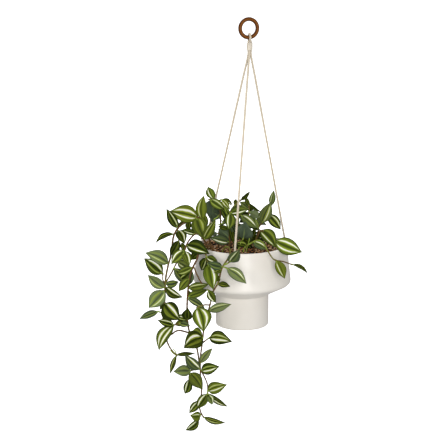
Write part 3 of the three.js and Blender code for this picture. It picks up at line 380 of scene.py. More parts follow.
CROWN_BACK = {
    "node": "crown_stem_back",
    "stems": (
        {"thick": 2.8, "rooted": True, "route": ((242, 248.5, -12), (242.5, 240, -12), (244, 230, -12),
            (247.5, 220, -11), (249, 211, -10), (249, 203, -8))},
        {"thick": 2, "route": ((247.5, 220, -11), (243.5, 216.5, -15), (240.5, 215, -18))},
        {"thick": 2, "route": ((242.5, 240, -12), (246, 238.5, -6), (250.5, 238, 0))},
        {"thick": 1.6, "rooted": True, "route": ((234, 248, -4), (234.5, 238, -3), (238.5, 226, -3),
            (239, 214, -6), (243, 207, -8))},
        {"thick": 1.8, "rooted": True, "fresh": (0.6, 1), "route": ((238.5, 249.5, -36), (240.5, 244, -36),
            (243.5, 238, -33), (246.5, 234, -31))},
        {"thick": 1.6, "rooted": True, "fresh": (0.5, 0.9), "route": ((246.5, 249, -34), (248.5, 243, -35),
            (250, 236, -34))},
    ),
    "leaves": (
        (243.5, 238.5, 245, 221.8, -19, 31, -8, 0.06, 0.02, "00u"),
        (242.5, 242, 252.5, 247, 10, 12, -10, 0.05, 0, "00d"),
        (242.3, 244, 233, 246, 8, 10, 10, 0.05, 0, "00d"),
        (240.5, 215, 256.8, 228, -8, 18, -18, 0.08, 0, "90s"),
        (249, 201.5, 260.5, 211.5, -5, 9, 40, 0.04, 0.03, "10d"),
        (249, 211.5, 259.9, 217, -20, 14, 168, 0.05, 0, "21p"),
        (242.5, 240, 234, 221, 20, 21, 15, 0.05, 0, "00d"),
        (249, 209.5, 240, 202, 4, 14, 25, 0.05, 0.03, "11s"),
        (244, 230, 251, 241, 8, 17, -20, 0.06, -0.05, "10n"),
        (243, 236, 246.5, 246, 6, 14, -10, 0.05, 0, "00d"),
        (250.5, 238, 255, 228.5, -3, 12, 15, 0.05, 0, "02d"),
        (249, 207, 245.2, 196.3, 2, 8, 10, 0.04, 0, "00d"),
        (244, 230, 254.5, 213.5, 16, 20, 10, 0.05, 0, "00n"),
        (249, 212, 241.5, 216, 8, 12, -20, 0.05, 0, "00d"),
        (248.5, 216.5, 239.5, 222.5, 9, 10, 10, 0.05, 0, "00d"),
        (249, 205, 252.5, 214, 6, 9, 20, 0.04, 0, "00d"),
        (238.5, 226, 232, 218, 6, 11, 15, 0.05, 0, "00d"),
        (239, 217, 246, 209, 6, 11, -10, 0.05, 0, "00d"),
        (236, 233, 241, 224, 6, 12, 10, 0.05, 0, "00d"),
        (234.5, 241, 228.5, 233, 6, 12, 10, 0.05, 0, "00d"),
        (241, 210, 236.5, 203.5, 4, 8, 10, 0.05, 0, "00d"),
    ),
}

CROWN_RIGHT = {
    "node": "crown_stems_right",
    "stems": (
        {"thick": 2.6, "rooted": True, "route": ((256, 248.5, -10), (257, 240, -11), (258, 232, -13),
            (259, 227, -15), (262, 223, -17), (266, 216.5, -16), (270, 210, -13), (271, 206, -12))},
        {"thick": 2.6, "rooted": True, "route": ((254, 250.5, -28), (254.5, 244, -28), (257, 237, -30),
            (261, 230.5, -33), (268, 235.5, -30), (274.5, 241, -41))},
        {"thick": 1.8, "route": ((258.5, 229, -14), (260, 230, -25), (261, 230.5, -33))},
    ),
    "leaves": (
        (262, 223, 271, 202.2, -10, 23, 10, 0.05, -0.05, "16s"),
        (271, 206, 273.8, 190.5, 1, 12, 15, 0.04, -0.03, "61s"),
        (267.5, 214, 280.4, 229.4, -4, 19, -12, 0.08, -0.02, "73d"),
        (261, 229, 275.5, 247.4, -20, 24, -10, 0.07, -0.1, "37m"),
        (258.5, 229.5, 254.5, 217.5, -10, 7, 20, 0.04, 0, "55b"),
        (257.3, 238, 262.3, 229.5, 12, 11, 10, 0.05, 0, "00d"),
        (257.5, 234, 255.5, 244.5, 3, 10, 25, 0.05, 0, "01d"),
        (257.3, 238, 262.5, 245.5, 5, 12, -20, 0.05, 0, "10d"),
        (256.5, 243, 249.5, 238.5, 9, 12, 10, 0.05, 0, "00d"),
        (256.8, 241, 264.5, 239.5, 12, 10, 10, 0.05, 0, "00d"),
        (258.5, 229.5, 251.5, 227, 5, 9, 15, 0.05, 0, "10d"),
        (262, 223, 256.5, 214.5, 6, 9, 15, 0.05, 0, "11s"),
        (274.5, 240.5, 301.6, 252.1, -6, 30, -18, 0.09, 0.03, "88b"),
    ),
}

TRAILING_RIGHT = {
    "node": "trailing_stem_right",
    "stems": (
        {"thick": 2.2, "rooted": True, "fresh": (0.85, 0.25), "route": ((243.5, 251.5, -38),
            (245, 247, -42), (249.5, 244, -47), (256.5, 240.5, -55), (261.5, 241.5, -66), (265, 246, -78),
            (269, 253, -89), (274, 259.5, -91), (283, 261.5, -86), (292, 264.5, -80))},
    ),
    "leaves": (
        (276, 260, 284.5, 278.4, -4, 18, -10, 0.06, -0.03, "07b"),
        (292, 264.5, 307.5, 273.5, -2, 9, -50, 0.12, -0.04, "12d"),
        (253, 241.5, 267.6, 249.6, -15, 17, -32, 0.06, 0, "81n"),
        (247, 245, 236.5, 243.5, 17, 13, 40, 0.06, 0, "24d"),
    ),
}

SEEN_PLANTS = (TRAILING_LEFT, TRAILING_FRONT, CROWN_LEFT, CROWN_FRONT, CROWN_BACK, CROWN_RIGHT,
               TRAILING_RIGHT)

# Behind the pot the stems are placed directly, in mm from the middle of the rim: a stem's node, its
# thickness, how many places bear no leaf, the size of its leaves as a share, and its route.
BACK_STEMS = (
    ("back_stem_left", 2.8, 2, 1, ((-28, 30, -7), (-32, 44, 14), (-38, 74, 16), (-44, 96, 0),
                                   (-45, 104, -28), (-42, 106, -68))),
    ("back_stem_middle", 2.8, 1, 1, ((8, 34, -7), (10, 52, 20), (14, 80, 20), (16, 101, 0),
                                     (20, 106, -40), (17, 107, -84), (20, 107, -118))),
    ("back_stem_right", 2.6, 3, 0.7, ((36, 26, -7), (40, 44, 6), (52, 71, 6), (58, 86, -8),
                                      (64, 92, -36), (62, 95, -66))),
)


# ---------------------------------------------------------------- node trees
class Value:
    """A number in a node tree, written with in plain arithmetic."""

    def __init__(self, nodes, socket):
        self.nodes = nodes
        self.socket = socket

    def _math(self, operation, *terms):
        node = self.nodes.add("ShaderNodeMath", {"operation": operation}, dict(enumerate(terms)))
        return Value(self.nodes, node.outputs[0])

    def __add__(self, other):
        return self._math("ADD", self, other)

    __radd__ = __add__

    def __sub__(self, other):
        return self._math("SUBTRACT", self, other)

    def __rsub__(self, other):
        return self._math("SUBTRACT", other, self)

    def __mul__(self, other):
        return self._math("MULTIPLY", self, other)

    __rmul__ = __mul__

    def __truediv__(self, other):
        return self._math("DIVIDE", self, other)

    def __abs__(self):
        return self._math("ABSOLUTE", self)

    def sine(self):
        return self._math("SINE", self)

    def wrapped(self):
        """The part after the point: an even draw from a number that is scaled up."""
        return self._math("FRACT", self)

    def step(self, low, high):
        """0 below low, 1 above high and smooth between them; falling where low is above high."""
        node = self.nodes.add("ShaderNodeMapRange", {"interpolation_type": "SMOOTHSTEP"}, {
            "Value": self, "From Min": low, "From Max": high})
        return Value(self.nodes, node.outputs["Result"])


class Nodes:
    """Adds nodes to one tree."""

    def __init__(self, tree):
        self.tree = tree

    def add(self, kind, settings=None, sockets=None):
        """A node of this type, its settings made first, then its sockets set or linked."""
        node = self.tree.nodes.new(kind)
        for name, setting in (settings or {}).items():
            if name == "stops":
                self._set_stops(node.color_ramp, setting)
            else:
                setattr(node, name, setting)
        for name, value in (sockets or {}).items():
            if isinstance(value, Value):
                value = value.socket
            if isinstance(value, bpy.types.Node):
                value = value.outputs[0]
            if isinstance(value, bpy.types.NodeSocket):
                self.tree.links.new(value, node.inputs[name])
            else:
                node.inputs[name].default_value = value
        return node

    @staticmethod
    def _set_stops(ramp, stops):
        while len(ramp.elements) < len(stops):
            ramp.elements.new(1)
        for element, (place, colour) in zip(ramp.elements, stops):
            element.position = place
            element.color = (*colour, 1)

    def value(self, kind, output=0, settings=None, sockets=None):
        return Value(self, self.add(kind, settings, sockets).outputs[output])

    def noise(self, place, scale, detail=2, roughness=0.5):
        return self.value("ShaderNodeTexNoise", "Fac", None, {
            "Vector": place, "Scale": scale, "Detail": detail, "Roughness": roughness})

    def attribute(self, name):
        return self.value("ShaderNodeAttribute", "Fac", {"attribute_name": name})

    def mix(self, factor, first, second):
        """A colour between two, where each is a plain colour, a node or a socket."""
        linked = (bpy.types.Node, bpy.types.NodeSocket)
        colours = [c if isinstance(c, linked) else (*c, 1) for c in (first, second)]
        node = self.add("ShaderNodeMix", {"data_type": "RGBA"},
                        {0: factor, 6: colours[0], 7: colours[1]})
        return node.outputs[2]

    def combine(self, x, y, z):
        return self.add("ShaderNodeCombineXYZ", None, {0: x, 1: y, 2: z}).outputs[0]

    def stretched(self, place, scale):
        return self.add("ShaderNodeMapping", None, {"Vector": place, "Scale": scale}).outputs[0]

    def object_place(self):
        return self.add("ShaderNodeTexCoord").outputs["Object"]

    def bump(self, height, distance, strength=1):
        return self.add("ShaderNodeBump", None, {
            "Height": height, "Distance": distance, "Strength": strength}).outputs[0]


def new_material(name, rgb):
    material = bpy.data.materials.new(name)
    material.use_nodes = True
    material.node_tree.nodes.clear()
    material.diffuse_color = (*rgb, 1)
    return material, Nodes(material.node_tree)


def finish_material(nodes, sockets):
    shader = nodes.add("ShaderNodeBsdfPrincipled", None, sockets)
    nodes.add("ShaderNodeOutputMaterial", None, {"Surface": shader.outputs[0]})


# ---------------------------------------------------------------- materials
def leaf_material(look):
    """Green with a white stripe, edged in lime, on each half as its looks say; greyer below."""
    material, nodes = new_material("striped_leaf", look.middle_green)
    uv = nodes.add("ShaderNodeSeparateXYZ", None, {0: nodes.add("ShaderNodeUVMap")})
    across = Value(nodes, uv.outputs[0])
    along = Value(nodes, uv.outputs[1])
    out = abs(across * 2 - 1)
    right = across.step(0.49, 0.51)
    tint, under, tone, grey = (nodes.attribute(name) for name in ("tint", "under", "tone", "grey"))
    left_strength = nodes.attribute("left")
    strength = left_strength + (nodes.attribute("right") - left_strength) * right

    streaks = nodes.noise(nodes.combine(across * 30 + tint * 50, along * 1.8, tint * 9), 1, 3, 0.6)
    bands = nodes.noise(nodes.combine(across * 13 + tint * 70, along * 0.9, tint * 23), 1, 2, 0.6)
    broad = nodes.noise(nodes.combine(across * 4, along * 2.4, tint * 31), 1, 2, 0.5)
    shifted = out + (streaks - 0.5) * 0.06 + (broad - 0.5) * 0.16

    ends = along.step(0.02, 0.22) * along.step(0.99, 0.74)
    middle = 0.33 + (tint * 3.1).wrapped() * 0.16
    rib = 0.1 + (tint * 5.3).wrapped() * 0.12
    half = (0.02 + strength * strength * 0.092) * ends
    gap = abs(shifted - middle)
    bold = strength.step(0.25, 0.95)
    white = (half - gap).step(-0.02, 0.03) * bold * ends * (0.6 + streaks.step(0.3, 0.5) * 0.4)
    lime = (shifted - middle + half).step(-0.22, -0.03) * (middle + half - shifted).step(-0.15, -0.03)
    lime = lime * ends * (0.16 + strength.step(0.0, 0.6) * 0.74)

    # Painted shade, in part: the tone mixes towards dark green or blue green for leaves that lie in shade.
    green = nodes.mix(tone, look.dark_green, look.bright_green)
    dull = nodes.mix(tone, look.blue_green, look.sage_green)
    body = nodes.mix(grey, green, dull)
    deep = nodes.mix(0.75, body, look.deep_green)
    body = nodes.mix(streaks.step(0.6, 0.35) * 0.45, body, deep)
    body = nodes.mix(bands.step(0.54, 0.34) * 0.55, body, deep)
    body = nodes.mix(bands.step(0.52, 0.7) * (1 - grey) * 0.6, body, look.fresh_green)
    body = nodes.mix(shifted.step(0.84, 0.97) * 0.85, body, deep)
    body = nodes.mix(out.step(rib, rib * 0.4) * 0.6, body, deep)
    body = nodes.mix(lime, body, look.lime)
    body = nodes.mix(white, body, look.cream)
    body = nodes.mix(out.step(0.07, 0.02) * 0.7, body, deep)

    below = nodes.mix(streaks.step(0.3, 0.75), look.under_dark, look.under_pale)
    below = nodes.mix(tone * 0.8, below, look.sage_green)
    below = nodes.mix(white * 0.2, below, look.cream)
    below = nodes.mix(out.step(0.1, 0.03) * along.step(0.8, 0.3) * 0.8, below, look.under_rib)
    colour = nodes.mix(under, body, below)
    shade = nodes.add("ShaderNodeHueSaturation", None, {
        "Hue": 0.492 + tint * 0.016, "Value": 0.9 + (tint * 9.7).wrapped() * 0.2, "Color": colour})

    veins = (out * 46).sine() * 0.5 + 0.5
    height = veins * 0.3 + streaks * 0.5 + out.step(0.1, 0.0) * under
    finish_material(nodes, {
        "Base Color": shade.outputs[0],
        "Roughness": 0.48 + under * 0.2 + (broad - 0.5) * 0.16,
        "Specular IOR Level": 0.04,
        "Normal": nodes.bump(height, 0.00035, 0.5),
    })
    return material


def stem_material(look):
    """Brown to olive stems that turn lime where they are fresh."""
    material, nodes = new_material("stem", look.old_stem)
    place = nodes.object_place()
    fresh = nodes.attribute("tint")
    fibres = nodes.noise(nodes.stretched(place, (900, 900, 60)), 1, 3, 0.6)
    blotch = nodes.noise(place, 90, 2)
    old = nodes.mix(fibres.step(0.35, 0.7), look.old_stem, look.olive_stem)
    colour = nodes.mix((fresh + (blotch - 0.5) * 0.5).step(0.25, 0.8), old, look.fresh_stem)
    finish_material(nodes, {
        "Base Color": colour,
        "Roughness": 0.5 + fibres * 0.2,
        "Specular IOR Level": 0.25,
        "Normal": nodes.bump(fibres, 0.0004, 0.5),
    })
    return material


def glaze_material(look):
    """Satin warm white glaze, bare clay on the foot's standing ring."""
    material, nodes = new_material("glaze", look.glaze)
    place = nodes.object_place()
    height = Value(nodes, nodes.add("ShaderNodeSeparateXYZ", None, {0: place}).outputs[2])
    cloud = nodes.noise(place, 14, 3)
    ripple = nodes.noise(place, 38, 2, 0.4)
    fleck = nodes.noise(place, 900, 2, 0.5)
    turning = nodes.noise(nodes.stretched(place, (4, 4, 420)), 1, 2, 0.5)
    colour = nodes.mix(cloud.step(0.3, 0.7), look.glaze, look.glaze_deep)
    colour = nodes.mix(fleck.step(0.72, 0.8) * 0.25, colour, look.clay)
    bare = (height + (cloud - 0.5) * 0.0004).step(FOOT_Z + 0.0007, FOOT_Z + 0.0003)
    colour = nodes.mix(bare, colour, look.clay)
    finish_material(nodes, {
        "Base Color": colour,
        "Roughness": 0.3 + bare * 0.5 + (ripple - 0.5) * 0.08,
        "Coat Weight": 0.12 - bare * 0.12,
        "Coat Roughness": 0.16,
        "Specular IOR Level": 0.34,
        "Normal": nodes.bump(ripple * 0.8 + turning * 0.25 + fleck * bare, 0.0005, 0.35),
    })
    return material


def wood_material(look):
    """Oiled red-brown wood, its grain running round the ring, with painted shade round its outer and inner
    edges.
    """
    material, nodes = new_material("ring_wood", look.wood_light)
    uv = nodes.add("ShaderNodeUVMap")
    grain = nodes.noise(nodes.stretched(uv, (3, 26, 1)), 1, 4, 0.65)
    fine = nodes.noise(nodes.stretched(uv, (14, 160, 1)), 1, 3, 0.6)
    pores = nodes.noise(nodes.stretched(uv, (34, 300, 1)), 1, 1, 0.4)
    ramp = nodes.add("ShaderNodeValToRGB", {"stops": (
        (0.25, look.wood_dark), (0.5, look.wood_middle),
        (0.8, look.wood_light))}, {0: grain * 0.7 + fine * 0.3})
    round_it = Value(nodes, nodes.add("ShaderNodeSeparateXYZ", None, {0: uv}).outputs[1])
    # Painted shade: the section darkens towards the ring's outer and inner edges, which leaves a lighter band
    # like a highlight on its faces.
    edge = abs(round_it - 0.5).step(0.04, 0.28)
    edge_shaded = nodes.mix(edge * 0.85, ramp, look.wood_dark)
    colour = nodes.mix(pores.step(0.62, 0.72) * 0.5, edge_shaded, look.wood_dark)
    finish_material(nodes, {
        "Base Color": colour,
        "Roughness": 0.38 + fine * 0.2,
        "Specular IOR Level": 0.1,
        "Normal": nodes.bump(fine * 0.5 - pores.step(0.6, 0.75) * 0.6, 0.0003, 0.5),
    })
    return material


def cotton_material(name, light, shade):
    """Twisted cotton: fine fibres that follow each strand's lay, and painted shade in the grooves between the
    strands.
    """
    material, nodes = new_material(name, light)
    along = nodes.attribute("along")
    around = nodes.attribute("around")
    place = nodes.object_place()
    fibres = nodes.noise(nodes.combine(around * 60 + along * 2600, along * 500, 0), 1, 3, 0.65)
    wisps = nodes.noise(place, 1600, 2, 0.6)
    soiled = nodes.noise(place, 45, 2)
    groove = abs((around * 3 * math.pi).sine()).step(0.0, 0.5)
    colour = nodes.mix(fibres.step(0.25, 0.75), shade, light)
    # Painted shade: the shade colour darkens the grooves between the strands.
    colour = nodes.mix((1 - groove) * 0.7, colour, shade)
    colour = nodes.mix(soiled.step(0.4, 0.75) * 0.3, colour, shade)
    finish_material(nodes, {
        "Base Color": colour,
        "Roughness": 0.82 + fibres * 0.12,
        "Sheen Weight": 0.25,
        "Sheen Roughness": 0.5,
        "Specular IOR Level": 0.2,
        "Normal": nodes.bump(fibres * 0.7 + wisps * 0.5, 0.0005, 0.7),
    })
    return material


def soil_material(look):
    material, nodes = new_material("potting_soil", look.soil)
    place = nodes.object_place()
    crumbs = nodes.noise(place, 260, 4, 0.7)
    specks = nodes.noise(place, 900, 2, 0.5)
    colour = nodes.mix(crumbs.step(0.35, 0.7), look.soil, look.soil_light)
    colour = nodes.mix(specks.step(0.68, 0.74) * 0.5, colour, look.grain_tan)
    finish_material(nodes, {
        "Base Color": colour,
        "Roughness": 0.95,
        "Specular IOR Level": 0.15,
        "Normal": nodes.bump(crumbs + specks * 0.3, 0.002, 0.9),
    })
    return material


def grain_material(look):
    """Dry granules in browns, orange and tan, one tone to a grain."""
    material, nodes = new_material("granules", look.grain_brown)
    place = nodes.object_place()
    tone = nodes.attribute("tone")
    rough = nodes.noise(place, 1100, 3, 0.7)
    ramp = nodes.add("ShaderNodeValToRGB", {"stops": (
        (0.14, look.soil), (0.3, look.grain_brown), (0.52, look.grain_rust),
        (0.76, look.grain_tan), (1.0, look.grain_pale))}, {0: tone})
    colour = nodes.mix(rough.step(0.4, 0.75) * 0.3, ramp, look.soil)
    finish_material(nodes, {
        "Base Color": colour,
        "Roughness": 0.8 + rough * 0.15,
        "Specular IOR Level": 0.08,
        "Normal": nodes.bump(rough, 0.0006, 0.8),
    })
    return material


def floor_material(look):
    material, nodes = new_material("studio_floor", look.floor)
    place = nodes.object_place()
    mottle = nodes.noise(place, 3, 2)
    colour = nodes.mix(mottle, look.floor, [part * 0.985 for part in look.floor])
    finish_material(nodes, {"Base Color": colour, "Roughness": 0.9, "Specular IOR Level": 0.1,
                            "Emission Color": (1, 1, 1, 1), "Emission Strength": look.glow})
    return material


# ---------------------------------------------------------------- meshes
class Maker:
    """Gathers the vertices and faces of one mesh, with its UV map and its named values."""

    def __init__(self):
        self.places = []
        self.faces = []
        self.uvs = []  # one pair for each vertex
        self.looks = []  # a dictionary for each vertex
        self.slots = []

    def add(self, place, uv=(0, 0), **looks):
        self.places.append(place)
        self.uvs.append(uv)
        self.looks.append(looks)
        return len(self.places) - 1

    def face(self, *corners, slot=0):
        self.faces.append(corners)
        self.slots.append(slot)

    def ring_faces(self, rings, slot=0, closed=True):
        """Quads between neighbouring rings of vertices."""
        for low, high in zip(rings, rings[1:]):
            count = len(low)
            for i in range(count if closed else count - 1):
                j = (i + 1) % count
                self.face(low[i], low[j], high[j], high[i], slot=slot)

    def object(self, name, materials):
        mesh = bpy.data.meshes.new(name)
        mesh.from_pydata([tuple(place) for place in self.places], [], self.faces)
        for material in materials:
            mesh.materials.append(material)
        mesh.polygons.foreach_set("material_index", self.slots)
        mesh.polygons.foreach_set("use_smooth", [True] * len(self.faces))
        corners = [self.uvs[loop.vertex_index] for loop in mesh.loops]
        layer = mesh.uv_layers.new(name="UVMap")
        layer.data.foreach_set("uv", [number for pair in corners for number in pair])
        for label in sorted({label for looks in self.looks for label in looks}):
            attribute = mesh.attributes.new(label, "FLOAT", "POINT")
            attribute.data.foreach_set("value", [looks.get(label, 0) for looks in self.looks])
        mesh.update()
        thing = bpy.data.objects.new(name, mesh)
        bpy.context.scene.collection.objects.link(thing)
        return thing


def plain_mesh(thing, name=None):
    """The object's evaluated shape as a plain mesh, with its modifiers gone."""
    graph = bpy.context.evaluated_depsgraph_get()
    mesh = bpy.data.meshes.new_from_object(thing.evaluated_get(graph), depsgraph=graph)
    result = bpy.data.objects.new(name or thing.name, mesh)
    bpy.context.scene.collection.objects.link(result)
    title = thing.name
    bpy.data.objects.remove(thing)
    result.name = name or title
    mesh.name = result.name
    return result


def keep(piece, slot, *nodes):
    """The piece rides with the object and stands for its CAD nodes, which it hides; its slot is not used."""
    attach(piece, "root")
    if nodes:
        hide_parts(*nodes)


# ---------------------------------------------------------------- curves
def catmull(points, steps=24):
    """A centripetal curve through the points, as many short stretches."""
    places = [Vector(p) for p in points]
    places = [2 * places[0] - places[1], *places, 2 * places[-1] - places[-2]]
    result = [places[1]]
    for a, b, c, d in zip(places, places[1:], places[2:], places[3:]):
        t0 = 0.0
        t1 = t0 + max(math.sqrt((b - a).length), 1e-4)
        t2 = t1 + max(math.sqrt((c - b).length), 1e-4)
        t3 = t2 + max(math.sqrt((d - c).length), 1e-4)
        for step in range(1, steps + 1):
            t = t1 + (t2 - t1) * step / steps
            ab = a * ((t1 - t) / (t1 - t0)) + b * ((t - t0) / (t1 - t0))
            bc = b * ((t2 - t) / (t2 - t1)) + c * ((t - t1) / (t2 - t1))
            cd = c * ((t3 - t) / (t3 - t2)) + d * ((t - t2) / (t3 - t2))
            abc = ab * ((t2 - t) / (t2 - t0)) + bc * ((t - t0) / (t2 - t0))
            bcd = bc * ((t3 - t) / (t3 - t1)) + cd * ((t - t1) / (t3 - t1))
            result.append(abc * ((t2 - t) / (t2 - t1)) + bcd * ((t - t1) / (t2 - t1)))
    return result


def evenly(line, count):
    """The line again, as count stretches of equal length."""
    lengths = [0.0]
    for a, b in zip(line, line[1:]):
        lengths.append(lengths[-1] + (b - a).length)
    result = []
    index = 0
    for step in range(count + 1):
        goal = lengths[-1] * step / count
        while index < len(line) - 2 and lengths[index + 1] < goal:
            index += 1
        span = lengths[index + 1] - lengths[index]
        share = (goal - lengths[index]) / span if span else 0
        result.append(line[index].lerp(line[index + 1], min(max(share, 0), 1)))
    return result


def length_of(line):
    return sum((b - a).length for a, b in zip(line, line[1:]))


def tube(maker, line, radius_at, tint_at, sides=STEM_SIDES, slot=0):
    """A closed tube along the line, with its radius and tint from its share of the length."""
    total = length_of(line)
    gone = 0.0
    normal = None
    rings = []
    for index, place in enumerate(line):
        ahead = line[min(index + 1, len(line) - 1)] - line[max(index - 1, 0)]
        along = ahead.normalized()
        if normal is None:
            normal = along.orthogonal().normalized()
        normal = (normal - along * normal.dot(along)).normalized()
        side = along.cross(normal)
        if index:
            gone += (place - line[index - 1]).length
        radius = radius_at(gone / total)
        ring = []
        for turn in range(sides):
            angle = 2 * math.pi * turn / sides
            spoke = normal * math.cos(angle) + side * math.sin(angle)
            uv = (turn / sides, gone)
            ring.append(maker.add(place + spoke * radius, uv, tint=tint_at(gone / total)))
        rings.append(ring)
    maker.ring_faces(rings, slot)
    maker.face(*reversed(rings[0]), slot=slot)
    maker.face(*rings[-1], slot=slot)


# ---------------------------------------------------------------- leaves and stems
def seen(across, down, y):
    """The place that shows at (across, down) in the front view, at the depth y in mm."""
    ray = -VIEW_BACK * EYE_DISTANCE
    ray.x += (across - VIEW_MIDDLE) * VIEW_UNIT
    ray += VIEW_UP * (VIEW_MIDDLE - down) * VIEW_UNIT
    return EYE + ray * ((y * MM - EYE.y) / ray.y)


def showing(place):
    """Where a place shows in the front view."""
    reach = place - EYE
    scale = EYE_DISTANCE / (-reach.dot(VIEW_BACK) * VIEW_UNIT)
    return Vector((VIEW_MIDDLE + reach.x * scale, VIEW_MIDDLE - reach.dot(VIEW_UP) * scale))


def nearest_on(ways, across, down):
    """The place on the stems that shows nearest to (across, down), and the stem's direction."""
    goal = Vector((across, down))
    best = None
    for way, shown in ways:
        for index in range(len(way) - 1):
            start = shown[index]
            reach = shown[index + 1] - start
            share = (goal - start).dot(reach) / max(reach.length_squared, 1e-6)
            share = min(max(share, 0), 1)
            gap = (start + reach * share - goal).length
            if best is None or gap < best[0]:
                place = way[index].lerp(way[index + 1], share)
                best = (gap, place, (way[index + 1] - way[index]).normalized())
    return best[1], best[2]


def face_of(root, tip, roll):
    """The direction out of a leaf's upper side."""
    along = (tip - root).normalized()
    viewer = Vector((0, -1, 0))
    viewer = (viewer - along * viewer.dot(along)).normalized()
    return Quaternion(along, math.radians(roll)) @ viewer


def outline_at(t):
    for (t0, w0), (t1, w1) in zip(LEAF_OUTLINE, LEAF_OUTLINE[1:]):
        if t <= t1:
            share = (t - t0) / (t1 - t0)
            return w0 + (w1 - w0) * share
    return LEAF_OUTLINE[-1][1]


def looks_of(code, draw):
    """What a leaf's two figures and letter stand for, as the values that its material reads."""
    left, right, letter = code
    tone, grey = TONES[letter]
    return {"tint": draw.random(), "left": int(left) / 9, "right": int(right) / 9,
            "tone": tone + draw.uniform(-0.08, 0.08), "grey": grey, "under": float(letter == "u")}


def add_leaf(maker, root, tip, face, width, arch, bend, looks, draw, build):
    """A pointed blade, folded along its midrib, arched, bent, slightly twisted and waved."""
    length = (tip - root).length
    along = (tip - root).normalized()
    twist = math.radians(draw.uniform(-LEAF_TWIST, LEAF_TWIST))
    phase = draw.uniform(0, 2 * math.pi)
    wave = build.leaf_wave * draw.uniform(*WAVE_RANGE) * width / WAVE_WIDTH
    fold = build.leaf_fold * draw.uniform(*FOLD_RANGE)
    tops = []
    unders = []
    for row in range(LEAF_ROWS + 1):
        t = row / LEAF_ROWS
        turn = Quaternion(along, twist * (t - 0.4))
        up = turn @ face
        side = along.cross(up)
        bow = 4 * t * (1 - t) * length
        middle = root + along * (t * length) + face * (arch * bow) + side * (bend * bow)
        half = outline_at(t) * width / 2
        top = []
        under = []
        for column in LEAF_COLUMNS:
            out = abs(column)
            rise = half * (fold * out + 0.1 * math.sin(math.pi * out))
            rise += wave * out * out * math.sin(4.4 * math.pi * t + phase + column)
            place = middle + side * (column * half) + up * rise
            keel = build.leaf_thick * (0.5 + 0.9 * max(0, 1 - out * 5) * (1 - t))
            uv = ((column + 1) / 2, t)
            top.append(maker.add(place + up * build.leaf_thick * 0.5, uv, **looks))
            under.append(maker.add(place - up * keel, uv, **{**looks, "under": 1}))
        tops.append(top)
        unders.append(under)
    maker.ring_faces(tops, closed=False)
    maker.ring_faces([list(reversed(row)) for row in unders], closed=False)
    for low, high in zip(range(LEAF_ROWS), range(1, LEAF_ROWS + 1)):
        maker.face(tops[low][0], tops[high][0], unders[high][0], unders[low][0])
        maker.face(tops[high][-1], tops[low][-1], unders[low][-1], unders[high][-1])
    for i in range(len(LEAF_COLUMNS) - 1):
        maker.face(tops[0][i + 1], tops[0][i], unders[0][i], unders[0][i + 1])
        maker.face(tops[-1][i], tops[-1][i + 1], unders[-1][i + 1], unders[-1][i])


def add_sheath(maker, root, tip, face, stem_way, arch, draw):
    """The sleeve round the stem from which a leaf grows, and the raised start of its midrib."""
    along = (tip - root).normalized()
    length = (tip - root).length
    sleeve = [root - stem_way * SLEEVE_BELOW, root, root + stem_way * SLEEVE_ABOVE]
    fresh = draw.uniform(0.3, 0.7)
    tube(maker, sleeve, lambda s: SLEEVE_RADIUS * (1 + 0.25 * math.sin(math.pi * s)),
         lambda s: fresh, slot=1)
    reach = min(RIB_SHARE * length, RIB_LONGEST)
    line = [root + along * (reach * s) + face * (4 * arch * s * reach) for s in (0, 0.35, 0.7, 1)]
    tube(maker, line, lambda s: RIB_RADIUS - RIB_TAPER * s, lambda s: 0.9, sides=7, slot=1)


def rooted_line(points):
    foot = points[0].copy()
    foot.z = RIM_Z - GRAVEL_DROP - ROOT_DEPTH
    leave = points[0].copy()
    leave.z = RIM_Z - GRAVEL_DROP + STEM_EXIT
    return [foot, *catmull([leave, *points[1:]])]


def add_stem(maker, line, thick, draw, fresh=None):
    """A stem that thins towards its end; how fresh it is at its foot and at its end may be given."""
    total = length_of(line)
    fine = evenly(line, max(6, int(total / STEM_STEP)))
    lift = draw.uniform(0, 6)
    foot, end = fresh or (OLD_FRESH if thick > OLD_STEM else YOUNG_FRESH)

    def radius_at(share):
        swell = STEM_SWELL * math.sin(share * total * STEM_SWELL_RATE + lift)
        return STEM_THICKER * thick / 2 * (1 - STEM_TAPER * share + swell)

    tube(maker, fine, radius_at, lambda share: foot + (end - foot) * share, slot=1)
    return fine


def spread(index, offset):
    """Evenly spread numbers from 0 to 1, for repeats that should look irregular."""
    return (index * GOLDEN_SHARE + offset * (1 - GOLDEN_SHARE) * 7) % 1


def seen_plant(plant, materials, build):
    """One leafy stem, or a few that hold together, from its places in the front view."""
    maker = Maker()
    draw = random.Random(plant["node"])
    ways = []
    for stem in plant["stems"]:
        points = [seen(*place) for place in stem["route"]]
        line = rooted_line(points) if stem.get("rooted") else catmull(points)
        fine = add_stem(maker, line, stem["thick"] * MM, draw, stem.get("fresh"))
        ways.append((fine, [showing(place) for place in fine]))
    for leaf in plant["leaves"]:
        across, down, tip_across, tip_down, further, width, roll, arch, bend, code = leaf
        root, stem_way = nearest_on(ways, across, down)
        tip = root.lerp(seen(tip_across, tip_down, root.y / MM + further), BLADE_REACH)
        face = face_of(root, tip, roll)
        width *= BLADE_WIDTH * MM
        add_leaf(maker, root, tip, face, width, arch, bend, looks_of(code, draw), draw, build)
        add_sheath(maker, root, tip, face, stem_way, arch, draw)
    thing = maker.object("leafy_" + plant["node"], materials)
    keep(thing, "foliage", plant["node"])


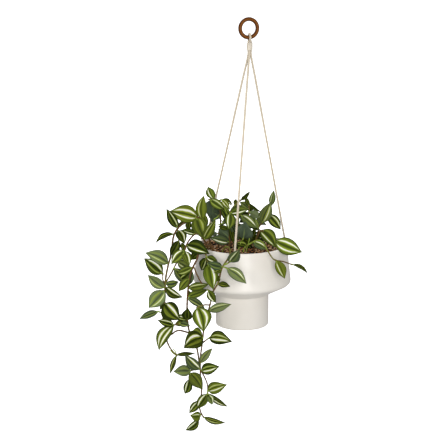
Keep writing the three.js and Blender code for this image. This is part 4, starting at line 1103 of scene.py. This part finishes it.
def back_plant(index, materials, build):
    """A stem over the back of the rim, a leaf every LEAF_EVERY on either side in turn."""
    node, thick, bare, scale, route = BACK_STEMS[index]
    maker = Maker()
    draw = random.Random(node)
    centre = Vector((POT_X, 0, RIM_Z))
    points = [centre + Vector(place) * MM for place in route]
    add_stem(maker, rooted_line(points), thick * MM, draw)
    line = catmull(points, 40)
    count = int(length_of(line) // LEAF_EVERY)
    places = evenly(line, count * 10)
    for leaf in range(bare + 1, count + 1):
        root = places[leaf * 10]
        along = (places[min(leaf * 10 + 1, count * 10)] - places[leaf * 10 - 1]).normalized()
        outward = Vector((root.x - POT_X, root.y, 0.02)).normalized()
        sideways = along.cross(outward).normalized() * (1 if leaf % 2 else -1)
        chance = spread(leaf, index)
        reach = scale * (LEAF_REACH + LEAF_REACH_SPREAD * chance)
        way = sideways * 1.1 + outward * (0.35 + 0.4 * spread(leaf, index + 1))
        way = (way + along * (0.25 + 0.5 * spread(leaf, index + 2))).normalized()
        face = outward + Vector((0, 0, 0.3))
        face = (face - way * face.dot(way)).normalized()
        tip = root + way * reach
        width = reach * (BACK_WIDTH + BACK_WIDTH_SPREAD * chance)
        looks = looks_of(BACK_LOOKS[(leaf + 2 * index) % len(BACK_LOOKS)], draw)
        add_leaf(maker, root, tip, face, width, BACK_ARCH, 0, looks, draw, build)
        add_sheath(maker, root, tip, face, along, BACK_ARCH, draw)
    thing = maker.object("leafy_" + node, materials)
    keep(thing, "foliage", node)


# ---------------------------------------------------------------- the pot
def rounded(corners, arc_steps=8):
    """The outline through (radius, z, rounding) corners, each rounded by an arc."""
    result = []
    for index, (r, z, rounding) in enumerate(corners):
        here = Vector((r, z))
        if not rounding or index in (0, len(corners) - 1):
            result.append(here)
            continue
        before = (Vector(corners[index - 1][:2]) - here).normalized()
        after = (Vector(corners[index + 1][:2]) - here).normalized()
        half = math.acos(max(-1, min(1, before.dot(after)))) / 2
        reach = rounding / math.tan(half)
        middle = here + (before + after).normalized() * (rounding / math.sin(half))
        start = here + before * reach - middle
        end = here + after * reach - middle
        sweep = start.angle_signed(end)
        for step in range(arc_steps + 1):
            angle = -sweep * step / arc_steps
            cos, sin = math.cos(angle), math.sin(angle)
            spoke = Vector((start.x * cos - start.y * sin, start.x * sin + start.y * cos))
            result.append(middle + spoke)
    return result


def turned(maker, outline, segments, centre_x):
    """A closed solid turned about the vertical, from an outline that starts and ends on it."""
    rings = []
    for point in outline[1:-1]:
        ring = []
        for turn in range(segments):
            angle = 2 * math.pi * turn / segments
            place = Vector((centre_x + point.x * math.cos(angle), point.x * math.sin(angle), point.y))
            ring.append(maker.add(place, (turn / segments, point.y)))
        rings.append(ring)
    maker.ring_faces(rings)
    for pole, ring, order in ((outline[0], rings[0], -1), (outline[-1], rings[-1], 1)):
        middle = maker.add(Vector((centre_x, 0, pole.y)))
        for i in range(segments):
            pair = (ring[i], ring[(i + 1) % segments])[::order]
            maker.face(middle, *pair)


def around(angle, radius, z, centre_x=None):
    turn = math.radians(angle)
    centre = POT_X if centre_x is None else centre_x
    return Vector((centre + radius * math.cos(turn), radius * math.sin(turn), z))


def knot_place(angle):
    return around(angle, RIM_RADIUS - KNOT_INSET, HOLE_Z - KNOT_DIP)


def pot_outline(pot):
    """Up the outside from the foot's middle to the lip, and down the inside to the floor."""
    neck = pot.neck_radius
    inside = neck - WALL
    neck_z = RIM_Z - pot.neck_drop
    side_z = RIM_Z - SIDE_DROP
    shoulder = SHOULDER_RADIUS + SHOULDER_CORNER
    shoulder_z = RIM_Z - SHOULDER_DROP
    corners = (
        (0, FOOT_Z + FOOT_HOLLOW, 0),
        (neck - 8.5 * MM, FOOT_Z + FOOT_HOLLOW, 0.4 * MM),
        (neck - 8 * MM, FOOT_Z, 0.3 * MM),
        (neck - 1.6 * MM, FOOT_Z, 0.7 * MM),
        (neck, FOOT_Z + 1.8 * MM, 1.2 * MM),
        (neck, neck_z, 1.4 * MM),
        (shoulder, shoulder_z, 8.5 * MM),
        (SIDE_RADIUS, side_z, 60 * MM),
        (RIM_RADIUS, RIM_Z, LIP_ROUND),
        (RIM_RADIUS - WALL, RIM_Z, LIP_ROUND),
        (SIDE_RADIUS - WALL, side_z, 50 * MM),
        (shoulder - WALL, shoulder_z - 0.6 * MM, 8 * MM),
        (inside, neck_z + 3.5 * MM, INSIDE_ROUND),
        (inside, FOOT_Z + WALL, INSIDE_ROUND),
        (0, FOOT_Z + WALL, 0),
    )
    return rounded(corners)


def make_pot(pot, glaze):
    maker = Maker()
    turned(maker, pot_outline(pot), pot.segments, POT_X)
    body = maker.object("pot_raw", [glaze])
    holes = Maker()
    for angle in HOLE_ANGLES.values():
        ends = (RIM_RADIUS - 2.5 * WALL, RIM_RADIUS + WALL)
        line = [around(angle, radius, HOLE_Z) for radius in ends]
        tube(holes, line, lambda share: HOLE_RADIUS, lambda share: 0, sides=HOLE_SIDES)
    cutter = holes.object("cord_holes", [glaze])
    cut = body.modifiers.new("holes", "BOOLEAN")
    cut.operation = "DIFFERENCE"
    cut.solver = "EXACT"
    cut.object = cutter
    piece = plain_mesh(body, "glazed_pot")
    bpy.data.objects.remove(cutter)
    piece.data.set_sharp_from_angle(angle=math.radians(50))
    keep(piece, "glaze", "pot")


# ---------------------------------------------------------------- cords
def cord_up(angle):
    """One cord's way from its knot in the pot, out through its hole and up to the whipping."""
    way = [
        knot_place(angle),
        around(angle, RIM_RADIUS - WALL, HOLE_Z),
        around(angle, RIM_RADIUS + 1 * MM, HOLE_Z),
        around(angle, RIM_RADIUS + 3 * MM, HOLE_Z + 1.2 * MM),
        around(angle, RIM_RADIUS + 3.6 * MM, HOLE_Z + 3.8 * MM),
        around(angle, RIM_RADIUS + 3.2 * MM, HOLE_Z + 7 * MM),
    ]
    strand = around(angle, STRAND_RADIUS, THREAD_LOW.z - 6 * MM, CORD_CENTRE_X)
    way += [way[-1].lerp(strand, share / 8) for share in range(1, 9)]
    way.append(around(angle, STRAND_RADIUS, THREAD_LOW.z, CORD_CENTRE_X))
    return way


def loop_over_ring():
    """Over the ring's lowest section, from the left strand to the right one."""
    middle = Vector((CORD_CENTRE_X, 0, RING_LOW.z + RING_SECTION / 2))
    radius = (RING_SECTION + CORD_THICK) / 2 + 3 * CLEARANCE
    way = [(radius - 1.2 * MM, -4.2 * MM)]
    way += [(radius * math.cos(math.radians(turn)), radius * math.sin(math.radians(turn)))
            for turn in range(0, 181, 30)]
    way.append((1.2 * MM - radius, -4.2 * MM))
    lean = Vector((-math.sin(LOOP_TURN), math.cos(LOOP_TURN), 0))
    return [middle + lean * reach + Vector((0, 0, rise)) for reach, rise in way]


def new_tree(name, **inputs):
    """A geometry tree with these inputs besides its geometry, its nodes and its input node."""
    tree = bpy.data.node_groups.new(name, "GeometryNodeTree")
    face = tree.interface
    for label, kind in {"Geometry": "Geometry", **inputs}.items():
        face.new_socket(label, in_out="INPUT", socket_type="NodeSocket" + kind)
    face.new_socket("Geometry", in_out="OUTPUT", socket_type="NodeSocketGeometry")
    nodes = Nodes(tree)
    return tree, nodes, nodes.add("NodeGroupInput")


def finish_tree(nodes, shape, material):
    """Ends the tree: its copies made real, with their material."""
    solid = nodes.add("GeometryNodeRealizeInstances", None, {"Geometry": shape})
    solid = nodes.add("GeometryNodeSetMaterial", None, {"Geometry": solid, "Material": material})
    nodes.add("NodeGroupOutput", None, {0: solid})


def rope_tree(material):
    """Three strands laid up along a curve: a lobed section that turns as it goes."""
    tree, nodes, given = new_tree("laid_rope", Radius="Float", Lay="Float")
    radius = Value(nodes, given.outputs["Radius"])
    lay = Value(nodes, given.outputs["Lay"])
    line = nodes.add("GeometryNodeResampleCurve", {"mode": "LENGTH"}, {
        "Curve": given.outputs["Geometry"], "Length": ROPE_STEP})
    length = nodes.value("GeometryNodeSplineParameter", "Length")
    line = nodes.add("GeometryNodeSetCurveTilt", None, {
        "Curve": line, "Tilt": length / lay * (2 * math.pi)})
    line = nodes.add("GeometryNodeStoreNamedAttribute", {"data_type": "FLOAT"}, {
        "Geometry": line, "Name": "along", "Value": length})
    share = nodes.value("GeometryNodeSplineParameter", "Factor")
    circle = nodes.add("GeometryNodeCurvePrimitiveCircle", None, {
        "Resolution": ROPE_SIDES, "Radius": 1.0})
    lobe = abs((share * (3 * math.pi)).sine())
    size = radius * ((1 - ROPE_GROOVE) + ROPE_GROOVE * lobe)
    place = nodes.add("ShaderNodeVectorMath", {"operation": "SCALE"}, {
        0: nodes.add("GeometryNodeInputPosition"), "Scale": size})
    section = nodes.add("GeometryNodeSetPosition", None, {
        "Geometry": circle, "Position": place})
    section = nodes.add("GeometryNodeStoreNamedAttribute", {"data_type": "FLOAT"}, {
        "Geometry": section, "Name": "around", "Value": share})
    swept = nodes.add("GeometryNodeCurveToMesh", None, {
        "Curve": line, "Profile Curve": section, "Fill Caps": True})
    finish_tree(nodes, swept, material)
    return tree


def curve_object(name, line, cyclic=False):
    curve = bpy.data.curves.new(name, "CURVE")
    curve.dimensions = "3D"
    spline = curve.splines.new("POLY")
    spline.points.add(len(line) - 1)
    for point, place in zip(spline.points, line):
        point.co = (*place, 1)
    spline.use_cyclic_u = cyclic
    thing = bpy.data.objects.new(name, curve)
    bpy.context.scene.collection.objects.link(thing)
    return thing


def with_tree(thing, tree, inputs):
    """Runs the tree on the object and keeps the result as a plain mesh."""
    modifier = thing.modifiers.new(tree.name, "NODES")
    modifier.node_group = tree
    for item in tree.interface.items_tree:
        if item.item_type == "SOCKET" and item.in_out == "INPUT" and item.name in inputs:
            modifier[item.identifier] = inputs[item.name]
    return plain_mesh(thing)


def trefoil(centre, size, count=64):
    """The closed line of an overhand knot."""
    line = []
    for step in range(count):
        t = 2 * math.pi * step / count
        line.append(centre + Vector((
            (math.sin(t) + 2 * math.sin(2 * t)) * size,
            (math.cos(t) - 2 * math.cos(2 * t)) * size,
            -math.sin(3 * t) * size * 1.2)))
    return line


def cord_past(end, past):
    """One cord's whole way, from its knot to a place this far past the top of the whipping."""
    angle = HOLE_ANGLES[end]
    return [*cord_up(angle), around(angle, STRAND_RADIUS, THREAD_HIGH.z + past, CORD_CENTRE_X)]


def make_knot(end, tree, lay):
    """The knot that ends a cord inside the pot."""
    line = trefoil(knot_place(HOLE_ANGLES[end]), KNOT_SIZE)
    knot = with_tree(curve_object("knot_" + end, line, True), tree, {"Radius": KNOT_STRAND, "Lay": lay})
    smooth_all(knot)
    return knot


def make_cords(cord, material):
    """The cord over the ring and the front cord, each with its knots."""
    tree = rope_tree(material)
    sizes = {"Radius": cord.thick / 2, "Lay": cord.lay}
    over = [*cord_past("left", 1 * MM), *loop_over_ring(), *reversed(cord_past("right", 1 * MM))]
    ways = {
        "rope_left_and_right": ("cord_left_and_right", ("left", "right"), over),
        "rope_front": ("cord_front", ("front",), cord_past("front", -1 * MM)),
    }
    for name, (node, ends, way) in ways.items():
        line = catmull(way, 10)
        piece = with_tree(curve_object(name, line), tree, sizes)
        smooth_all(piece)
        for end in ends:
            knot = make_knot(end, tree, cord.lay)
            keep(knot, "cord", node)
        keep(piece, "cord", node)
        length_of(line)


def smooth_all(thing):
    thing.data.polygons.foreach_set("use_smooth", [True] * len(thing.data.polygons))


def make_whipping(cord, material):
    """The thread wound round the strands, each turn pressed against the next."""
    pitch = (THREAD_HIGH.z - THREAD_LOW.z - cord.thread) / cord.turns
    radius = (THREAD_HIGH.x - THREAD_LOW.x) / 2 - cord.thread / 2
    line = []
    for step in range(cord.turns * THREAD_STEPS + 1):
        angle = 2 * math.pi * step / THREAD_STEPS
        z = THREAD_LOW.z + cord.thread / 2 + pitch * step / THREAD_STEPS
        line.append(Vector((CORD_CENTRE_X + radius * math.cos(angle), radius * math.sin(angle), z)))
    tree = rope_tree(material)
    piece = with_tree(curve_object("wound_thread", line), tree, {
        "Radius": cord.thread / 2, "Lay": THREAD_LAY})
    smooth_all(piece)
    keep(piece, "cord", "whipping_thread")


# ---------------------------------------------------------------- ring
def make_ring(ring, material):
    """The turned ring, its section a little flatter between its four sides."""
    maker = Maker()
    section = ring.section / 2
    centre = Vector((0, 0, (RING_LOW.z + RING_HIGH.z) / 2))
    radius = (RING_HIGH.z - RING_LOW.z) / 2 - section
    turn = Matrix.Rotation(RING_TURN, 3, "Z")
    rings = []
    for step in range(RING_STEPS):
        angle = 2 * math.pi * step / RING_STEPS
        out = Vector((math.cos(angle), 0, math.sin(angle)))
        circle = []
        for side in range(RING_SIDES):
            spin = 2 * math.pi * side / RING_SIDES
            flat = section * (1 - RING_FLAT * math.sin(2 * spin) ** 2)
            place = out * (radius + flat * math.cos(spin)) + Vector((0, flat * math.sin(spin), 0))
            lap = min(step, RING_STEPS - step) / RING_STEPS
            uv = (2 * lap, abs(2 * side / RING_SIDES - 1))
            circle.append(maker.add(centre + turn @ place, uv))
        rings.append(circle)
    maker.ring_faces([*rings, rings[0]])
    for index, face in enumerate(maker.faces):
        maker.faces[index] = tuple(reversed(face))
    piece = maker.object("wooden_ring", [material])
    keep(piece, "ring_wood", "hanging_ring")


# ---------------------------------------------------------------- granules
def grain_tree(material):
    """Faceted grains scattered over a surface, each with a tone of its own."""
    tree, nodes, given = new_tree("scattered_grains", Spacing="Float", Size="Float", Seed="Int")
    points = nodes.add("GeometryNodeDistributePointsOnFaces", {"distribute_method": "POISSON"}, {
        "Mesh": given.outputs["Geometry"], "Distance Min": given.outputs["Spacing"],
        "Density Max": 200000.0, "Seed": given.outputs["Seed"]})
    seed = Value(nodes, given.outputs["Seed"])
    size = Value(nodes, given.outputs["Size"])
    stone = nodes.add("GeometryNodeMeshIcoSphere", None, {"Radius": 1.0, "Subdivisions": 2})
    lumps = nodes.add("FunctionNodeRandomValue", {"data_type": "FLOAT_VECTOR"}, {
        0: (0.72, 0.72, 0.72), 1: (1.1, 1.1, 1.1), "Seed": 5})
    lumpy = nodes.add("ShaderNodeVectorMath", {"operation": "MULTIPLY"}, {
        0: nodes.add("GeometryNodeInputPosition"), 1: lumps})
    stone = nodes.add("GeometryNodeSetPosition", None, {"Geometry": stone, "Position": lumpy})
    turn = nodes.add("FunctionNodeRandomValue", {"data_type": "FLOAT_VECTOR"}, {
        0: (-0.35, -0.35, 0), 1: (0.35, 0.35, 6.3), "Seed": seed + 1})
    scale = nodes.add("FunctionNodeRandomValue", {"data_type": "FLOAT_VECTOR"}, {
        0: (0.7, 0.6, 0.4), 1: (1.25, 1.05, 0.62), "Seed": seed + 2})
    scaled = nodes.add("ShaderNodeVectorMath", {"operation": "SCALE"}, {0: scale, "Scale": size})
    scattered = nodes.add("GeometryNodeInstanceOnPoints", None, {
        "Points": points.outputs["Points"], "Instance": stone, "Rotation": turn, "Scale": scaled})
    tone = nodes.add("FunctionNodeRandomValue", {"data_type": "FLOAT"}, {
        2: 0.0, 3: 1.0, "Seed": seed + 3})
    scattered = nodes.add("GeometryNodeStoreNamedAttribute", {
        "data_type": "FLOAT", "domain": "INSTANCE"}, {
        "Geometry": scattered, "Name": "tone", "Value": tone.outputs[1]})
    finish_tree(nodes, scattered, material)
    return tree


def add_grain(maker, middle, half, turn, draw):
    """One main grain: a rough lump with half axes `half`, turned about the vertical."""
    tone = draw.random()
    cos, sin = math.cos(turn), math.sin(turn)
    dents = [(Vector((draw.gauss(0, 1), draw.gauss(0, 1), draw.gauss(0, 1))).normalized(),
              draw.uniform(-0.14, 0.1)) for _ in range(7)]
    rows = []
    for row in range(1, GRAIN_ROWS):
        polar = math.pi * row / GRAIN_ROWS
        ring = []
        for side in range(GRAIN_SIDES):
            angle = 2 * math.pi * (side + 0.5 * row) / GRAIN_SIDES
            way = Vector((math.sin(polar) * math.cos(angle), math.sin(polar) * math.sin(angle),
                          math.cos(polar)))
            reach = 1 + sum(depth * max(0, way.dot(dent)) ** 3 for dent, depth in dents)
            x, y, z = (reach * part * size for part, size in zip(way, half))
            place = middle + Vector((x * cos - y * sin, x * sin + y * cos, z))
            ring.append(maker.add(place, tone=tone))
        rows.append(ring)
    maker.ring_faces(list(reversed(rows)))
    for ring, z, order in ((rows[0], half.z, 1), (rows[-1], -half.z, -1)):
        pole = maker.add(middle + Vector((0, 0, z)), tone=tone)
        for i in range(GRAIN_SIDES):
            maker.face(pole, *(ring[i], ring[(i + 1) % GRAIN_SIDES])[::order])


def main_grains(grain):
    """The main grains at the places that the golden angle gives them."""
    widening = (SOLID_SIDE_RADIUS - RIM_RADIUS) / (SOLID_SIDE_DROP - SOLID_LIP_DROP)
    inside = RIM_RADIUS - WALL + widening * (GRAVEL_DROP - SOLID_LIP_DROP)
    reach = inside - 2 * CLEARANCE
    maker = Maker()
    draw = random.Random("main_grains")
    for index in range(GRAIN_COUNT):
        size = GRAIN_SIZE + GRAIN_SPREAD * spread(index, 1)
        radius = (reach - size - CLEARANCE) * math.sqrt((index + 0.5) / GRAIN_COUNT)
        middle = around(index * GOLDEN_ANGLE, radius, RIM_Z - GRAVEL_DROP - GRAIN_SINK)
        half = Vector((0.86, 0.86 * (0.8 + 0.3 * spread(index, 2)), 0.92 * GRAIN_HEIGHT)) * size
        add_grain(maker, middle, half, 6 * spread(index, 4), draw)
    thing = maker.object("granules_main", [grain])
    keep(thing, "granules", "granules")


def make_granules(bed, grain, soil):
    """A lumpy bed of soil under the rim, and the grains scattered over it."""
    reach = RIM_RADIUS - WALL - BED_GAP
    top = RIM_Z - GRAVEL_DROP
    draw = random.Random(bed.seed)
    hills = [(draw.uniform(-reach, reach), draw.uniform(-reach, reach), draw.uniform(-1, 1))
             for _ in range(HILL_COUNT)]

    def ground(x, y):
        lift = sum(h * math.exp(-((x - a) ** 2 + (y - b) ** 2) / HILL_SPREAD) for a, b, h in hills)
        return top + bed.relief * max(-1, min(1, lift))

    def circle(radius, z_at):
        result = []
        for turn in range(BED_SIDES):
            angle = 2 * math.pi * turn / BED_SIDES
            x, y = radius * math.cos(angle), radius * math.sin(angle)
            result.append(maker.add(Vector((POT_X + x, y, z_at(x, y)))))
        return result

    maker = Maker()
    middle = maker.add(Vector((POT_X, 0, ground(0, 0))))
    rings = [circle(reach * step / BED_RINGS, ground) for step in range(1, BED_RINGS + 1)]
    for i in range(BED_SIDES):
        maker.face(middle, rings[0][i], rings[0][(i + 1) % BED_SIDES])
    maker.ring_faces(list(reversed(rings)))
    ground_only = maker.object("granule_ground", [soil])
    scatter = {"Spacing": bed.spacing, "Size": bed.size, "Seed": bed.seed}
    grains = with_tree(ground_only, grain_tree(grain), scatter)
    grains.name = "granules_loose"
    keep(grains, "granules", "granules")

    low = circle(reach, lambda x, y: top - BED_DEPTH)
    maker.ring_faces([low, rings[-1]])
    maker.face(*reversed(low))
    piece = maker.object("granule_bed", [soil])
    keep(piece, "granules", "granules")
    main_grains(grain)


# ---------------------------------------------------------------- settings
def colour(name, description, rgb):
    return FloatVectorProperty(name=name, description=description, subtype="COLOR", size=3,
                               min=0, max=1, default=rgb)


def size(name, description, default):
    return FloatProperty(name=name, description=description, default=default, min=0,
                         subtype="DISTANCE", unit="LENGTH", precision=4)


class PlantSettings(bpy.types.PropertyGroup):
    """Form and colours of the leaves and stems."""

    leaf_thick: size("Leaf thickness", "Thickness of a blade", 0.0006)
    leaf_wave: size("Leaf wave", "How far a blade's edge waves", 0.0005)
    leaf_fold: FloatProperty(name="Leaf fold", description="Rise of a blade's halves per width",
                             default=0.3, min=0, max=1)
    deep_green: colour("Deep green", "Midrib, margin and dark streaks", (0.007, 0.015, 0.002))
    # Dark green and blue green, through the tones d and n, are partly painted shade on leaves that lie in
    # shade.
    dark_green: colour("Dark green", "Body of a dark leaf", (0.02, 0.031, 0.002))
    middle_green: colour("Middle green", "Tone of the leaves seen from afar", (0.075, 0.11, 0.016))
    bright_green: colour("Bright green", "Body of a bright leaf", (0.145, 0.19, 0.018))
    fresh_green: colour("Fresh green", "Clouds on a leaf", (0.17, 0.215, 0.02))
    blue_green: colour("Blue green", "Body of a dull leaf", (0.055, 0.085, 0.046))
    sage_green: colour("Sage green", "Body of a pale leaf", (0.18, 0.225, 0.1))
    lime: colour("Lime", "Band beside each stripe", (0.31, 0.38, 0.038))
    cream: colour("Cream", "Stripe on a leaf's half", (0.87, 0.86, 0.76))
    under_dark: colour("Underside", "Dark part of the underside", (0.05, 0.072, 0.042))
    under_pale: colour("Underside, pale", "Pale part of the underside", (0.105, 0.14, 0.085))
    under_rib: colour("Underside rib", "Rib on the underside", (0.2, 0.26, 0.08))
    old_stem: colour("Old stem", "Brown of an old stem", (0.115, 0.044, 0.014))
    olive_stem: colour("Olive stem", "Olive of a stem", (0.13, 0.09, 0.02))
    fresh_stem: colour("Fresh stem", "Lime of a young stem", (0.28, 0.4, 0.05))


class PotSettings(bpy.types.PropertyGroup):
    """Form and glaze of the pot."""

    neck_radius: size("Foot radius", "Radius of the foot", 0.0498)
    neck_drop: size("Neck drop", "From the rim down to where the bowl meets the foot", 0.0938)
    segments: IntProperty(name="Segments", description="Facets round the pot", default=160, min=32)
    glaze: colour("Glaze", "Warm white glaze", (0.86, 0.82, 0.755))
    glaze_deep: colour("Deep glaze", "Glaze where it is thicker", (0.83, 0.785, 0.71))
    clay: colour("Clay", "Bare clay of the standing ring", (0.52, 0.4, 0.28))


class CordSettings(bpy.types.PropertyGroup):
    """Cords and the thread round them."""

    thick: size("Cord diameter", "Diameter of each cord", CORD_THICK)
    lay: size("Lay length", "Length in which a strand turns once", 0.013)
    thread: size("Thread diameter", "Diameter of the whipping thread", 0.0014)
    turns: IntProperty(name="Turns", description="Turns of the whipping", default=13, min=1)
    cord: colour("Cord", "Cream cotton", (0.79, 0.72, 0.59))
    # The shade colours also paint shade in the grooves between the strands.
    cord_shade: colour("Cord shade", "Cotton between the strands", (0.615, 0.515, 0.375))
    wound: colour("Thread", "Paler cotton of the whipping", (0.97, 0.92, 0.82))
    wound_shade: colour("Thread shade", "Cotton between the thread's strands", (0.76, 0.66, 0.52))


class RingSettings(bpy.types.PropertyGroup):
    """The wooden ring."""

    section: size("Ring thickness", "Thickness of the ring's section", RING_SECTION)
    # wood_dark also paints the shade round the ring's outer and inner edges.
    wood_dark: colour("Dark wood", "Dark grain", (0.055, 0.013, 0.001))
    wood_middle: colour("Wood", "Body of the wood", (0.2, 0.064, 0.007))
    wood_light: colour("Light wood", "Light grain", (0.42, 0.185, 0.055))


class BedSettings(bpy.types.PropertyGroup):
    """The granules on the soil."""

    spacing: size("Spacing", "Least distance between grains", 0.0039)
    size: size("Grain size", "Half length of a grain", 0.0024)
    relief: size("Relief", "Height of the bed's lumps", 0.0005)
    seed: IntProperty(name="Seed", description="Draws another scatter", default=7, min=0)
    soil: colour("Soil", "Dark soil", (0.012, 0.007, 0.004))
    soil_light: colour("Light soil", "Dry crumbs", (0.045, 0.025, 0.013))
    grain_brown: colour("Brown grain", "Brown granules", (0.12, 0.052, 0.022))
    grain_rust: colour("Rust grain", "Rust granules", (0.4, 0.165, 0.06))
    grain_tan: colour("Tan grain", "Tan granules", (0.62, 0.37, 0.18))
    grain_pale: colour("Pale grain", "Pale granules", (0.8, 0.6, 0.38))


class StageSettings(bpy.types.PropertyGroup):
    """Floor, light and camera."""

    floor: colour("Floor", "Pale floor", (0.9, 0.9, 0.9))
    glow: FloatProperty(name="Floor glow", description="Light that the floor gives off", default=0.95)
    key_power: FloatProperty(name="Key light", description="Power of the key light",
                             default=28.5, min=0, subtype="POWER", unit="POWER")
    side_power: FloatProperty(name="Side light", description="Power of the light from the left",
                              default=13, min=0, subtype="POWER", unit="POWER")
    top_power: FloatProperty(name="Top light", description="Power of the light from above",
                             default=5, min=0, subtype="POWER", unit="POWER")
    back_power: FloatProperty(name="Back light", description="Power of the light from behind",
                              default=16, min=0, subtype="POWER", unit="POWER")
    sky: FloatProperty(name="Sky", description="Strength of the light from all round", default=0.44)


# ---------------------------------------------------------------- operators
class SceneStep:
    bl_options = {"REGISTER", "UNDO"}


class TRADESCANTIA_OT_stage(SceneStep, bpy.types.Operator):
    """Camera, floor and soft studio light"""

    bl_idname = "tradescantia.stage"
    bl_label = "Stage"

    def execute(self, context):
        scene = context.scene
        stage = scene.tradescantia_stage
        camera = bpy.data.cameras.new("front_view")
        camera.sensor_width = SENSOR
        camera.lens = EYE_DISTANCE / VIEW_UNIT / (2 * VIEW_MIDDLE) * SENSOR
        camera.clip_end = 50
        thing = bpy.data.objects.new("front_view", camera)
        thing.location = EYE
        thing.rotation_euler = (-VIEW_BACK).to_track_quat("-Z", "Y").to_euler()
        scene.collection.objects.link(thing)
        scene.camera = thing
        make_floor(stage)
        make_lights(scene, stage)
        return {"FINISHED"}


def make_floor(stage):
    """A pale floor that sweeps up behind the object in a long curve."""
    maker = Maker()
    low = CAD_BOX[0][2] - FLOOR_DROP
    profile = [(FLOOR_FRONT, low), (SWEEP_RADIUS, low)]
    for step in range(1, SWEEP_STEPS + 1):
        angle = math.radians(90 * step / SWEEP_STEPS)
        profile.append((SWEEP_RADIUS + SWEEP_RADIUS * math.sin(angle),
                        low + SWEEP_RADIUS - SWEEP_RADIUS * math.cos(angle)))
    profile.append((2 * SWEEP_RADIUS, low + SWEEP_HEIGHT))
    rows = [[maker.add(Vector((x, y, z))) for x in (-FLOOR_HALF_WIDTH, FLOOR_HALF_WIDTH)]
            for y, z in profile]
    maker.ring_faces(rows, closed=False)
    thing = maker.object("studio_sweep", [floor_material(stage)])
    thing.visible_diffuse = False
    thing.visible_glossy = False


def make_lights(scene, stage):
    """Four soft area lights that face the rim, and light from all round."""
    lights = (  # name, place, width and height, power
        ("key", (0.32, -2.35, 0.02), (0.9, 1.5), stage.key_power),
        ("side", (-1.5, -1.7, 0.2), (1.2, 1.2), stage.side_power),
        ("top", (0.1, 0.1, 1.1), (1.2, 1.2), stage.top_power),
        ("back", (-0.4, 2.3, 0.3), (1.4, 1.4), stage.back_power),
    )
    goal = Vector((POT_X, 0, RIM_Z))
    for name, place, (width, height), power in lights:
        light = bpy.data.lights.new(name, "AREA")
        light.shape = "RECTANGLE"
        light.size = width
        light.size_y = height
        light.energy = power
        thing = bpy.data.objects.new(name, light)
        thing.location = place
        thing.rotation_euler = (goal - Vector(place)).to_track_quat("-Z", "Y").to_euler()
        thing.visible_camera = False
        scene.collection.objects.link(thing)
    scene.view_settings.view_transform = "Standard"
    world = bpy.data.worlds.new("studio")
    world.use_nodes = True
    world.node_tree.nodes.clear()
    nodes = Nodes(world.node_tree)
    background = nodes.add("ShaderNodeBackground", None, {"Color": (1, 1, 1, 1), "Strength": stage.sky})
    nodes.add("ShaderNodeOutputWorld", None, {"Surface": background.outputs[0]})
    scene.world = world


class TRADESCANTIA_OT_cords(SceneStep, bpy.types.Operator):
    """The cords, their knots and the thread that gathers them"""

    bl_idname = "tradescantia.cords"
    bl_label = "Cords and whipping"

    def execute(self, context):
        cord = context.scene.tradescantia_cord
        make_cords(cord, cotton_material("cotton_cord", cord.cord, cord.cord_shade))
        make_whipping(cord, cotton_material("cotton_thread", cord.wound, cord.wound_shade))
        return {"FINISHED"}


class TRADESCANTIA_OT_ring(SceneStep, bpy.types.Operator):
    """The wooden ring"""

    bl_idname = "tradescantia.ring"
    bl_label = "Ring"

    def execute(self, context):
        ring = context.scene.tradescantia_ring
        make_ring(ring, wood_material(ring))
        return {"FINISHED"}


class TRADESCANTIA_OT_pot(SceneStep, bpy.types.Operator):
    """The glazed pot"""

    bl_idname = "tradescantia.pot"
    bl_label = "Pot"

    def execute(self, context):
        pot = context.scene.tradescantia_pot
        make_pot(pot, glaze_material(pot))
        return {"FINISHED"}


class TRADESCANTIA_OT_bed(SceneStep, bpy.types.Operator):
    """The soil and the granules on it"""

    bl_idname = "tradescantia.bed"
    bl_label = "Soil and granules"

    def execute(self, context):
        bed = context.scene.tradescantia_bed
        soil = soil_material(bed)
        make_granules(bed, grain_material(bed), soil)
        fill = bpy.data.objects["soil"]
        fill.data.materials.clear()
        fill.data.materials.append(soil)
        return {"FINISHED"}


class TRADESCANTIA_OT_plant(SceneStep, bpy.types.Operator):
    """All the leafy stems"""

    bl_idname = "tradescantia.plant"
    bl_label = "Leafy stems"

    def execute(self, context):
        build = context.scene.tradescantia_plant
        materials = [leaf_material(build), stem_material(build)]
        for plant in SEEN_PLANTS:
            seen_plant(plant, materials, build)
        for index in range(len(BACK_STEMS)):
            back_plant(index, materials, build)
        return {"FINISHED"}


class TRADESCANTIA_PT_panel(bpy.types.Panel):
    """Lists the steps that build the pot and its plant"""

    bl_idname = "TRADESCANTIA_PT_panel"
    bl_label = "Hanging tradescantia"
    bl_space_type = "VIEW_3D"
    bl_region_type = "UI"
    bl_category = "Tradescantia"

    def draw(self, context):
        for operator in OPERATORS:
            self.layout.operator(operator.bl_idname)


SETTINGS = {
    "tradescantia_stage": StageSettings,
    "tradescantia_cord": CordSettings,
    "tradescantia_ring": RingSettings,
    "tradescantia_pot": PotSettings,
    "tradescantia_bed": BedSettings,
    "tradescantia_plant": PlantSettings,
}
OPERATORS = (
    TRADESCANTIA_OT_stage,
    TRADESCANTIA_OT_cords,
    TRADESCANTIA_OT_ring,
    TRADESCANTIA_OT_pot,
    TRADESCANTIA_OT_bed,
    TRADESCANTIA_OT_plant,
)


def register():
    for settings in SETTINGS.values():
        bpy.utils.register_class(settings)
    for operator in (*OPERATORS, TRADESCANTIA_PT_panel):
        bpy.utils.register_class(operator)
    for name, settings in SETTINGS.items():
        setattr(bpy.types.Scene, name, PointerProperty(type=settings))


def unregister():
    for name in SETTINGS:
        delattr(bpy.types.Scene, name)
    for operator in reversed((*OPERATORS, TRADESCANTIA_PT_panel)):
        bpy.utils.unregister_class(operator)
    for settings in SETTINGS.values():
        bpy.utils.unregister_class(settings)


def main():
    register()
    for operator in OPERATORS:
        group, name = operator.bl_idname.split(".")
        getattr(getattr(bpy.ops, group), name)()


if __name__ == "__main__":
    main()
